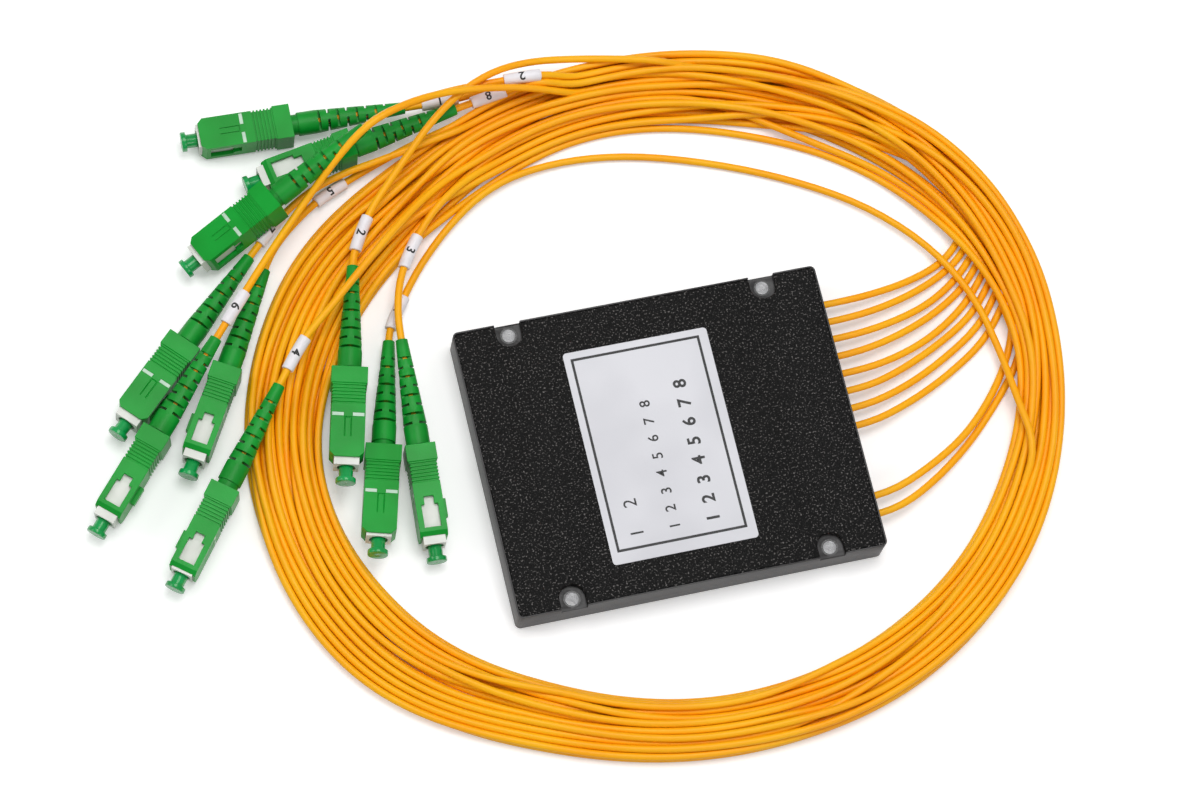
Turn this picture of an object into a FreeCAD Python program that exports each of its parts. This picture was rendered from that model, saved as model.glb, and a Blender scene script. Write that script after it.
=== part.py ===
"""Splitter module: a flat case with ten jacketed fibre cords, each ending in a square push-pull connector.

Millimetres. The origin is at the centre of the case's underside, +X points to the side where the cords
leave, and +Z points up. The cords lie round the case in a loose ring of about two turns each.
"""
import FreeCAD, Part
import math
import os
import re
from collections import namedtuple
from FreeCAD import Placement, Rotation, Vector

doc = FreeCAD.newDocument("splitter_module")
sheet = doc.addObject("Spreadsheet::Sheet", "Sizes")

SIZES = [
    # how far a tool goes past the face that it cuts
    ("tool_overrun", 1.0),
    # case
    ("case_length", 100.0),
    ("case_width", 80.0),
    ("case_height", 10.0),
    ("case_corner", 1.5),
    ("case_wall", 2.0),
    ("case_floor", 1.5),
    ("cover_thickness", 2.0),
    ("cover_rim", 0.4),
    ("cover_gap", 0.05),
    ("screw_inset_x", 15.0),
    ("screw_inset_y", 3.0),
    ("bush_bore", 3.5),
    ("bush_wall", 0.5),
    ("recess_width", 7.0),
    ("post_width", 9.0),
    # label
    ("label_length", 39.5),
    ("label_width", 59.5),
    ("label_thickness", 0.15),
    ("label_corner", 1.0),
    ("label_shift_x", -2.8),
    ("label_shift_y", -1.2),
    # cords, and what they lead to inside the case
    ("cord_diameter", 2.0),
    ("cord_level", 5.0),
    ("exit_clearance", 0.1),
    ("exit_first_y", 30.0),
    ("exit_pitch", 5.0),
    ("input_first_y", -25.0),
    ("rib_gap", 1.0),
    ("rib_thickness", 4.0),
    ("rib_headroom", 0.5),
    ("fibre_diameter", 0.9),
    ("fibre_clearance", 0.05),
    ("fibre_straight", 3.0),
    ("fibre_loop_lead", 2.0),
    ("chip_length", 40.0),
    ("chip_width", 7.6),
    ("chip_thickness", 4.0),
    ("chip_shift_x", -3.0),
    ("chip_shift_y", 12.0),
    ("chip_pad_length", 6.0),
    ("coil_height", 4.4),
    ("marker_length", 10.0),
    ("marker_diameter", 3.3),
    ("marker_clearance", 0.05),
    ("marker_reach", 3.5),
    # connector, measured along its own axis from the thin end of its boot
    ("sleeve_length", 25.0),
    ("sleeve_width", 9.0),
    ("sleeve_depth", 7.4),
    ("sleeve_front", 56.3),
    ("sleeve_travel", 1.8),
    ("sleeve_side_wall", 1.08),
    ("sleeve_face_wall", 0.68),
    ("sleeve_clearance", 0.12),
    ("sleeve_chamfer", 1.3),
    ("grip_end_length", 4.6),
    ("grip_swell", 0.3),
    ("grip_groove", 0.5),
    ("grip_groove_depth", 0.3),
    ("grip_pitch", 0.95),
    ("key_length", 5.0),
    ("key_width", 2.2),
    ("key_height", 1.0),
    ("key_setback", 5.4),
    ("window_setback", 2.4),
    ("window_length", 6.2),
    ("window_width", 4.4),
    ("window_stem_length", 2.2),
    ("window_stem_width", 2.6),
    ("stripe_setback", 11.7),
    ("stripe_edge", 0.25),
    ("stripe_length", 3.1),
    ("stripe_width", 1.0),
    ("stripe_depth", 0.3),
    ("latch_mark_setback", 5.6),
    ("latch_mark_length", 5.4),
    ("latch_mark_width", 1.9),
    ("latch_mark_groove", 0.25),
    ("frame_length", 24.0),
    ("frame_lead", 0.4),
    ("frame_stop_length", 4.0),
    ("frame_shoulder", 0.9),
    ("frame_shoulder_gap", 0.25),
    ("frame_fibre_way", 1.2),
    ("crimp_length", 5.7),
    ("crimp_diameter", 3.2),
    ("boot_tip_diameter", 3.2),
    ("boot_base_diameter", 6.4),
    ("boot_collar_length", 4.8),
    ("boot_neck_diameter", 5.6),
    ("boot_end_gap", 0.2),
    ("boot_bore_gap", 0.1),
    ("boot_slot", 0.7),
    ("boot_slot_pitch", 2.6),
    ("boot_web", 0.9),
    ("ferrule_diameter", 2.5),
    ("ferrule_length", 11.2),
    ("ferrule_proud", 2.9),
    ("flange_step", 0.9),
    ("flange_length", 3.0),
    ("flange_gap", 0.3),
    ("flange_seat_gap", 0.05),
    ("ferrule_stem_diameter", 1.8),
    ("ferrule_stem_length", 5.5),
    ("spring_wire", 0.35),
    ("spring_diameter", 3.4),
    ("cap_bore_gap", 0.08),
    ("cap_wall", 0.55),
    ("cap_end_gap", 0.4),
    ("cap_end_wall", 1.0),
    ("cap_inside", 4.0),
    ("cap_flange_step", 0.8),
    ("cap_flange_length", 1.3),
]
for row, (alias, value) in enumerate(SIZES, start=1):
    sheet.set(f"A{row}", alias)
    sheet.set(f"B{row}", str(value))
    sheet.setAlias(f"B{row}", alias)
doc.recompute()


def size(rule):
    """The value of a rule written with names from the sheet."""
    return float(sheet.evalExpression(re.sub(r"[a-z]+(_[a-z]+)+", lambda word: str(sheet.get(word.group())), rule)))


# ------------------------------------------------------------------ helpers

ALONG_X = Rotation(Vector(0, 1, 0), 90)
UPRIGHT = Rotation()


def bind(obj, **rules):
    """Ties properties to rules; each name with an underscore in a rule is a cell of the sheet."""
    for name, rule in rules.items():
        obj.setExpression(name.replace("__", "."), re.sub(r"[a-z]+(_[a-z]+)+", r"Sizes.\g<0>", rule))
    return obj


def place(obj, x="0", y="0", z="0", turn=UPRIGHT):
    obj.Placement = Placement(Vector(), turn)
    return bind(obj, Placement__Base__x=x, Placement__Base__y=y, Placement__Base__z=z)


def box(name, length, width, height, x="0", y="0", z="0", turn=UPRIGHT):
    """A block whose near lower corner is at x, y, z."""
    block = bind(doc.addObject("Part::Box", name), Length=length, Width=width, Height=height)
    return place(block, x, y, z, turn)


def bar(name, length, width, height, x):
    """A block along X from x, centred on the X axis."""
    return box(name, length, width, height, x, f"-({width}) / 2", f"-({height}) / 2")


def rod(name, diameter, length, x="0", y="0", z="0", turn=ALONG_X):
    """A cylinder from x, y, z along X, or up."""
    cylinder = bind(doc.addObject("Part::Cylinder", name), Radius=f"({diameter}) / 2", Height=length)
    return place(cylinder, x, y, z, turn)


def taper(name, start_diameter, end_diameter, length):
    """A cone along X from the origin."""
    cone = doc.addObject("Part::Cone", name)
    bind(cone, Radius1=f"({start_diameter}) / 2", Radius2=f"({end_diameter}) / 2", Height=length)
    return place(cone, turn=ALONG_X)


def join(name, pieces):
    obj = doc.addObject("Part::MultiFuse", name)
    obj.Shapes = pieces
    obj.Refine = True
    return obj


def cut(name, base, tools):
    obj = doc.addObject("Part::Cut", name)
    obj.Base = base
    obj.Tool = tools[0] if len(tools) == 1 else join(name + "_tools", tools)
    obj.Refine = True
    return obj


def group(name, pieces):
    obj = doc.addObject("Part::Compound", name)
    obj.Links = pieces
    return obj


def drawn(name, shape):
    """A sub-part whose shape comes straight from Part's own functions."""
    obj = doc.addObject("Part::Feature", name)
    obj.Shape = shape
    return obj


def rounded_block(name, length, width, height, corner, x="0", y="0", z="0"):
    """A block centred on x and y, with round upright corners."""
    pieces = [
        box(name + "_long", length, f"{width} - 2 * ({corner})", height,
            f"{x} - ({length}) / 2", f"{y} - ({width}) / 2 + {corner}", z),
        box(name + "_wide", f"{length} - 2 * ({corner})", width, height,
            f"{x} - ({length}) / 2 + {corner}", f"{y} - ({width}) / 2", z),
    ]
    for i, (side_x, side_y) in enumerate(CORNERS):
        pieces.append(rod(f"{name}_corner_{i}", f"2 * ({corner})", height,
                          f"{x} + {side_x} * (({length}) / 2 - ({corner}))",
                          f"{y} + {side_y} * (({width}) / 2 - ({corner}))", z, UPRIGHT))
    return join(name, pieces)


# ------------------------------------------------------------------ case

CORNERS = [(-1, -1), (-1, 1), (1, -1), (1, 1)]
OUTPUTS = 8
SCREW_X = "(case_length / 2 - screw_inset_x)"
SCREW_Y = "(case_width / 2 - screw_inset_y)"
SEAT_Z = "(case_height - cover_thickness)"
RIB_FRONT = "(case_length / 2 - case_wall - rib_gap)"
BUSH_DIAMETER = "(bush_bore + 2 * bush_wall)"
FIBRE_WAY = "(fibre_diameter + 2 * fibre_clearance)"
CHIP_Z = "(cord_level - chip_thickness / 2)"
CHIP_START = "(chip_shift_x - chip_length / 2)"
EXIT_Y = [f"(exit_first_y - {i} * exit_pitch)" for i in range(OUTPUTS)]
EXIT_Y += ["input_first_y", "(input_first_y - exit_pitch)"]


def recess(name, side_x, side_y):
    """The U-shaped recess in the cover's level at a fixing hole, open at the side of the case."""
    x = f"{side_x} * {SCREW_X}"
    start = SCREW_Y if side_y > 0 else f"-{SCREW_Y} - screw_inset_y - tool_overrun"
    return join(name, [
        rod(name + "_end", "recess_width", "case_height", x, f"{side_y} * {SCREW_Y}", SEAT_Z, UPRIGHT),
        box(name + "_run", "recess_width", "screw_inset_y + tool_overrun", "case_height", f"{x} - recess_width / 2",
            start, SEAT_Z),
    ])


def fixing_post(name, side_x, side_y):
    """Solid ground about a fixing hole, from the case's floor to the cover's seat."""
    depth = "(post_width / 2 + screw_inset_y - cover_rim)"
    start = f"{SCREW_Y} - post_width / 2" if side_y > 0 else "cover_rim - case_width / 2"
    return box(name, "post_width", depth, SEAT_Z, f"{side_x} * {SCREW_X} - post_width / 2", start)


def make_case_base():
    outside = rounded_block("base_outside", "case_length", "case_width", "case_height", "case_corner")
    cavity = box("base_cavity", "case_length - 2 * case_wall", "case_width - 2 * case_wall", "case_height",
                 "case_wall - case_length / 2", "case_wall - case_width / 2", "case_floor")
    seat = rounded_block("base_seat", "case_length - 2 * cover_rim", "case_width - 2 * cover_rim",
                         "case_height", "case_corner - cover_rim", z=SEAT_Z)
    inside = [
        box("base_rib", "rib_thickness", "2 * (exit_first_y + exit_pitch)",
            f"{SEAT_Z} - case_floor - rib_headroom",
            f"{RIB_FRONT} - rib_thickness", "-exit_first_y - exit_pitch", "case_floor"),
    ]
    for i, start in enumerate([CHIP_START, f"{CHIP_START} + chip_length - chip_pad_length"]):
        inside.append(box(f"base_chip_pad_{i}", "chip_pad_length", "chip_width", f"{CHIP_Z} - case_floor",
                          start, "chip_shift_y - chip_width / 2", "case_floor"))
    for i, (side_x, side_y) in enumerate(CORNERS):
        inside.append(fixing_post(f"base_post_{i}", side_x, side_y))
    tools = []
    for i, (side_x, side_y) in enumerate(CORNERS):
        tools.append(recess(f"base_recess_{i}", side_x, side_y))
        tools.append(rod(f"base_bush_way_{i}", BUSH_DIAMETER, "case_height",
                         f"{side_x} * {SCREW_X}", f"{side_y} * {SCREW_Y}", "0", UPRIGHT))
    for i, y in enumerate(EXIT_Y):
        tools.append(rod(f"base_exit_{i}", "cord_diameter + 2 * exit_clearance", "case_wall + 2 * rib_gap",
                         RIB_FRONT, y, "cord_level"))
        tools.append(rod(f"base_fibre_way_{i}", FIBRE_WAY, "rib_thickness", f"{RIB_FRONT} - rib_thickness",
                         y, "cord_level"))
    shell = cut("base_shell", outside, [cavity, seat])
    return cut("case_base", join("base_solid", [shell] + inside), tools)


def make_case_cover():
    plate = rounded_block("cover_plate", "case_length - 2 * (cover_rim + cover_gap)",
                          "case_width - 2 * (cover_rim + cover_gap)", "cover_thickness",
                          "case_corner - cover_rim", z=SEAT_Z)
    notches = [recess(f"cover_notch_{i}", *corner) for i, corner in enumerate(CORNERS)]
    return cut("case_cover", plate, notches)


def make_cover_label():
    return rounded_block("cover_label", "label_length", "label_width", "label_thickness", "label_corner",
                         "label_shift_x", "label_shift_y", "case_height")


def make_corner_bushes():
    bushes = []
    for i, (side_x, side_y) in enumerate(CORNERS):
        spot = (f"{side_x} * {SCREW_X}", f"{side_y} * {SCREW_Y}", "0", UPRIGHT)
        outer = rod(f"bush_outer_{i}", BUSH_DIAMETER, SEAT_Z, *spot)
        bushes.append(cut(f"bush_{i}", outer, [rod(f"bush_bore_{i}", "bush_bore", SEAT_Z, *spot)]))
    return group("corner_bushes", bushes)


def make_splitter_chip():
    return box("splitter_chip", "chip_length", "chip_width", "chip_thickness", CHIP_START,
               "chip_shift_y - chip_width / 2", CHIP_Z)


# ------------------------------------------------------------------ routes of round section

# the share of the shorter run beside a corner that the corner's arc takes
ARC_SHARE = 0.45
# how far a tube's volume may be from its section times its length
VOLUME_SLACK = 0.01


def bend(before, corner, after):
    """The arc that rounds a corner of a route: its start, middle, end and radius."""
    back = before - corner
    ahead = after - corner
    reach = ARC_SHARE * min(back.Length, ahead.Length)
    back.normalize()
    ahead.normalize()
    half_turn = (math.pi - back.getAngle(ahead)) / 2
    radius = reach / math.tan(half_turn)
    inward = (back + ahead).normalize()
    middle = corner + inward * (radius / math.cos(half_turn) - radius)
    return corner + back * reach, middle, corner + ahead * reach, radius


def tube(points, diameter):
    """A round bar along straight runs and tangent arcs: its solid, its length and its smallest radius."""
    edges = []
    radii = []
    at = points[0]
    for before, corner, after in zip(points, points[1:], points[2:]):
        start, middle, end, radius = bend(before, corner, after)
        edges += [Part.LineSegment(at, start).toShape(), Part.Arc(start, middle, end).toShape()]
        radii.append(radius)
        at = end
    edges.append(Part.LineSegment(at, points[-1]).toShape())
    path = Part.Wire(edges)
    section = Part.Wire(Part.makeCircle(diameter / 2, points[0], points[1] - points[0]))
    solid = path.makePipeShell([section], True, False)
    expected = math.pi * diameter ** 2 / 4 * path.Length
    if abs(solid.Volume / expected - 1) > VOLUME_SLACK:
        raise RuntimeError(f"a tube's volume is {solid.Volume:.2f} and should be {expected:.2f}")
    return solid, path.Length, min(radii)


def make_inner_fibres():
    """Eight fibres fan out from the chip to the outputs, and two loop back to its other end."""
    diameter = size("fibre_diameter")
    spacing = diameter + 2 * size("fibre_clearance")
    rib_front = size(RIB_FRONT)
    rib_back = rib_front - size("rib_thickness")
    chip_start = size(CHIP_START)
    chip_end = chip_start + size("chip_length")
    level = size("cord_level")
    middle = size("chip_shift_y")
    straight = size("fibre_straight")
    fibres = []
    for i in range(OUTPUTS):
        y_out = size(EXIT_Y[i])
        y_chip = middle + spacing * ((OUTPUTS - 1) / 2 - i)
        route = [(rib_front, y_out), (rib_back - straight, y_out), (chip_end + straight, y_chip),
                 (chip_end, y_chip)]
        fibres.append(tube([Vector(x, y, level) for x, y in route], diameter)[0])
    for i, rule in enumerate(EXIT_Y[OUTPUTS:]):
        y_out = size(rule)
        y_chip = middle + spacing * (i - 0.5)
        radius = (y_chip - y_out) / 2
        centre = Vector(chip_start - size("fibre_loop_lead"), y_chip - radius, level)
        edges = [
            Part.LineSegment(Vector(rib_front, y_out, level), centre - Vector(0, radius, 0)).toShape(),
            Part.Arc(centre - Vector(0, radius, 0), centre - Vector(radius, 0, 0),
                     centre + Vector(0, radius, 0)).toShape(),
            Part.LineSegment(centre + Vector(0, radius, 0), Vector(chip_start, y_chip, level)).toShape(),
        ]
        section = Part.Wire(Part.makeCircle(diameter / 2, Vector(rib_front, y_out, level), Vector(-1, 0, 0)))
        fibres.append(Part.Wire(edges).makePipeShell([section], True, False))
    return drawn("inner_fibres", Part.makeCompound(fibres))


# ------------------------------------------------------------------ connector, along X from the boot's thin end

SLEEVE_BACK = "(sleeve_front - sleeve_length)"
FRAME_WIDTH = "(sleeve_width - 2 * (sleeve_side_wall + sleeve_clearance))"
FRAME_DEPTH = "(sleeve_depth - 2 * (sleeve_face_wall + sleeve_clearance))"
FRAME_FRONT = "(sleeve_front + frame_lead)"
FRAME_BACK = "(sleeve_front + frame_lead - frame_length)"
STOP_FRONT = "(sleeve_front + frame_lead - frame_length + frame_stop_length)"
CORD_END = "(sleeve_front + frame_lead - frame_length - crimp_length)"
BOOT_END = "(sleeve_front - sleeve_length - sleeve_travel - boot_end_gap)"
TAPER_LENGTH = "(sleeve_front - sleeve_length - sleeve_travel - boot_end_gap - boot_collar_length)"
FERRULE_FRONT = "(sleeve_front + frame_lead + ferrule_proud)"
FLANGE_DIAMETER = "(ferrule_diameter + 2 * flange_step)"
CHAMBER_DIAMETER = "(ferrule_diameter + 2 * (flange_step + flange_gap))"
FLANGE_BACK = "(sleeve_front + frame_lead + ferrule_proud - ferrule_length)"
FLANGE_FRONT = "(sleeve_front + frame_lead + ferrule_proud - ferrule_length + flange_length)"
CAP_END = "(sleeve_front + frame_lead + ferrule_proud + cap_end_gap + cap_end_wall)"
CAP_MOUTH = "(sleeve_front + frame_lead - cap_inside)"
CAP_DIAMETER = "(ferrule_diameter + 2 * (cap_bore_gap + cap_wall))"
GRIP_GROOVES = 6
BOOT_SLOTS = 8
SPRING_HALF_TURNS = 12


def sleeve_grip_tools():
    """Square rings that cut the grooves across the grip."""
    tools = []
    for i in range(GRIP_GROOVES):
        x = f"{SLEEVE_BACK} + grip_end_length + {i + 0.5} * grip_pitch"
        ring = bar(f"grip_ring_{i}", "grip_groove", "sleeve_width + 2 * tool_overrun",
                   "sleeve_depth + 2 * tool_overrun", x)
        core = bar(f"grip_core_{i}", "grip_groove", "sleeve_width - 2 * grip_groove_depth",
                   "sleeve_depth - 2 * grip_groove_depth", x)
        tools.append(cut(f"grip_cut_{i}", ring, [core]))
    return tools


def sleeve_corner_tools():
    """Blocks turned by an eighth that take off the sleeve's two upright front corners."""
    tools = []
    for side in (-1, 1):
        tools.append(box(f"sleeve_corner_{side + 1}", "2 * sleeve_chamfer", "2 * sleeve_chamfer",
                         "2 * sleeve_depth",
                         f"sleeve_front - sleeve_chamfer / 2 + {side} * sleeve_chamfer * sqrt(0.5)",
                         f"{side} * (sleeve_width - sleeve_chamfer) / 2 - sleeve_chamfer * sqrt(0.5)",
                         "-sleeve_depth", Rotation(Vector(0, 0, 1), side * 45)))
    return tools


def sleeve_mark_tools():
    """The two pale stripes' pockets and the outline of the latch, on the face away from the key."""
    tools = []
    for side in (-1, 1):
        edge = "sleeve_width / 2 - stripe_edge"
        tools.append(box(f"stripe_{side + 1}", "stripe_width", "stripe_length", "stripe_depth + tool_overrun",
                         "sleeve_front - stripe_setback - stripe_width / 2",
                         f"{edge} - stripe_length" if side > 0 else f"-({edge})",
                         "sleeve_depth / 2 - stripe_depth"))
    start = "sleeve_front - latch_mark_setback - latch_mark_length"
    level = "sleeve_depth / 2 - latch_mark_groove"
    outer = box("latch_mark_outer", "latch_mark_length", "latch_mark_width", "latch_mark_groove + tool_overrun", start,
                "-latch_mark_width / 2", level)
    inner = box("latch_mark_inner", "latch_mark_length", "latch_mark_width - 2 * latch_mark_groove",
                "latch_mark_groove + tool_overrun", f"{start} + latch_mark_groove",
                "latch_mark_groove - latch_mark_width / 2", level)
    tools.append(cut("latch_mark", outer, [inner]))
    return tools


def make_sleeve():
    """The outer housing that is pushed and pulled, drawn fully forward."""
    solid = join("sleeve_solid", [
        bar("sleeve_body", "sleeve_length", "sleeve_width", "sleeve_depth", SLEEVE_BACK),
        bar("sleeve_grip_end", "grip_end_length", "sleeve_width + 2 * grip_swell",
            "sleeve_depth + 2 * grip_swell", SLEEVE_BACK),
        box("sleeve_key", "key_length", "key_width", "key_height + sleeve_face_wall",
            "sleeve_front - key_setback - key_length", "-key_width / 2", "-sleeve_depth / 2 - key_height"),
    ])
    window = "sleeve_front - window_setback - window_length"
    tools = [
        bar("sleeve_bore", "sleeve_length", f"{FRAME_WIDTH} + 2 * sleeve_clearance",
            f"{FRAME_DEPTH} + 2 * sleeve_clearance", SLEEVE_BACK),
        bar("window_head", "window_length", "sleeve_width + 2 * tool_overrun", "window_width", window),
        bar("window_stem", "window_stem_length", "sleeve_width + 2 * tool_overrun", "window_stem_width",
            f"{window} - window_stem_length"),
    ]
    tools += sleeve_grip_tools() + sleeve_corner_tools() + sleeve_mark_tools()
    return cut("sleeve_shape", solid, tools)


def make_plug_frame():
    """The fixed body that the sleeve slides on; its rear tube is where the cord is crimped."""
    solid = join("frame_solid", [
        bar("frame_block", "frame_length", FRAME_WIDTH, FRAME_DEPTH, FRAME_BACK),
        rod("frame_crimp", "crimp_diameter", "crimp_length", CORD_END),
    ])
    seat = f"({FLANGE_FRONT} + flange_seat_gap)"
    return cut("plug_frame_shape", solid, [
        rod("frame_fibre_bore", "frame_fibre_way", f"{STOP_FRONT} - {CORD_END}", CORD_END),
        rod("frame_chamber", CHAMBER_DIAMETER, f"{seat} - {STOP_FRONT}", STOP_FRONT),
        rod("frame_shoulder_bore", "ferrule_diameter + 2 * frame_shoulder_gap", "frame_shoulder", seat),
        rod("frame_mouth", CHAMBER_DIAMETER, f"{FRAME_FRONT} - {seat} - frame_shoulder",
            f"{seat} + frame_shoulder"),
    ])


def make_ferrule():
    return join("ferrule_shape", [
        rod("ferrule_rod", "ferrule_diameter", "ferrule_length", FLANGE_BACK),
        rod("ferrule_flange", FLANGE_DIAMETER, "flange_length", FLANGE_BACK),
        rod("ferrule_stem", "ferrule_stem_diameter", "ferrule_stem_length",
            f"{FLANGE_BACK} - ferrule_stem_length"),
    ])


def make_spring():
    """The coil spring behind the ferrule's flange, of half turns that lean one way and the other."""
    radius = "((spring_diameter - spring_wire) / 2)"
    climb = f"(({FLANGE_BACK} - {STOP_FRONT} - 2 * spring_wire) / {SPRING_HALF_TURNS})"
    lean = math.degrees(math.atan2(size(climb) / 2, size(radius)))
    halves = []
    for i in range(SPRING_HALF_TURNS):
        half = bind(doc.addObject("Part::Torus", f"spring_half_{i}"), Radius1=f"hypot({radius}; {climb} / 2)",
                    Radius2="spring_wire / 2")
        half.Angle3 = 180
        side = 180 * (i % 2)
        turn = ALONG_X.multiply(Rotation(Vector(0, 0, 1), side)).multiply(Rotation(Vector(0, 1, 0), lean))
        halves.append(place(half, f"{STOP_FRONT} + spring_wire + {i + 0.5} * {climb}", turn=turn))
    return join("spring_shape", halves)


def make_dust_cap():
    """The spool-shaped cap that covers the ferrule."""
    solid = join("cap_solid", [
        rod("cap_neck", CAP_DIAMETER, f"{CAP_END} - {CAP_MOUTH}", CAP_MOUTH),
        rod("cap_flange", f"{CAP_DIAMETER} + 2 * cap_flange_step", "cap_flange_length",
            f"{CAP_END} - cap_flange_length"),
    ])
    bore = rod("cap_bore", "ferrule_diameter + 2 * cap_bore_gap", f"{CAP_END} - cap_end_wall - {CAP_MOUTH}",
               CAP_MOUTH)
    return cut("dust_cap_shape", solid, [bore])


def make_boot():
    """The tapered strain relief, with slots that open in turn to top and bottom and to the sides."""
    solid = join("boot_solid", [
        taper("boot_taper", "boot_tip_diameter", "boot_base_diameter", TAPER_LENGTH),
        rod("boot_collar", "boot_base_diameter", "boot_collar_length", TAPER_LENGTH),
        rod("boot_neck", "boot_neck_diameter", f"{FRAME_BACK} - {BOOT_END}", BOOT_END),
    ])
    tools = [
        rod("boot_bore", "cord_diameter + 2 * boot_bore_gap", CORD_END),
        rod("boot_crimp_bore", "crimp_diameter + 2 * boot_bore_gap", "crimp_length", CORD_END),
    ]
    for i in range(BOOT_SLOTS):
        x = f"{TAPER_LENGTH} - {i + 0.5} * boot_slot_pitch"
        for side in (-1, 1):
            name = f"boot_slot_{i}_{side + 1}"
            start = "boot_web" if side > 0 else "-boot_web - boot_base_diameter"
            if i % 2:
                tools.append(box(name, "boot_slot", "boot_base_diameter", "2 * boot_base_diameter", x, start,
                                 "-boot_base_diameter"))
            else:
                tools.append(box(name, "boot_slot", "2 * boot_base_diameter", "boot_base_diameter", x,
                                 "-boot_base_diameter", start))
    return cut("boot_shape", solid, tools)


# ------------------------------------------------------------------ where the connectors and cords lie

# tip: the thin end of the boot; heading: where the connector points, seen from above; dip: how far its
# front is lowered; roll: 0 with its key below; back: how far its sleeve is pulled back
Pose = namedtuple("Pose", "tip heading dip roll back")

# exit: the cord's place in the row of exits; lead: its way from the case to under the ring;
# tail: its way from the ring to the boot; straight: how far before the boot it already runs in line with it;
# marker: the run that carries its marker, 0 at the boot and counted towards the ring
Cord = namedtuple("Cord", "exit lead tail straight marker")

POSES = {
    "in_1": Pose((-47.7, 107.3, 4.8), 178.6, 0.0, 0.0, 0.2),
    "in_2": Pose((-61.3, 98.7, 17.6), 205.5, 12.6, 12.0, 0.9),
    "out_1": Pose((-66.0, 43.0, 3.3), 254.6, -5.4, 0.0, 0.3),
    "out_2": Pose((-71.4, 64.1, 7.8), 255.9, -1.9, 0.0, 1.6),
    "out_3": Pose((-63.1, 41.5, 7.4), 266.5, 2.6, 90.0, 1.5),
    "out_4": Pose((-97.5, 35.0, 9.0), 231.8, 4.0, -90.0, 0.0),
    "out_5": Pose((-94.3, 68.7, 4.9), 239.1, 0.0, -90.0, 1.5),
    "out_6": Pose((-111.1, 50.8, 9.4), 227.7, 4.8, 90.0, 1.5),
    "out_7": Pose((-97.5, 73.2, 4.3), 223.8, -0.6, 0.0, 1.6),
    "out_8": Pose((-34.4, 103.8, 6.3), 190.0, 1.6, 90.0, 1.2),
}

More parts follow.
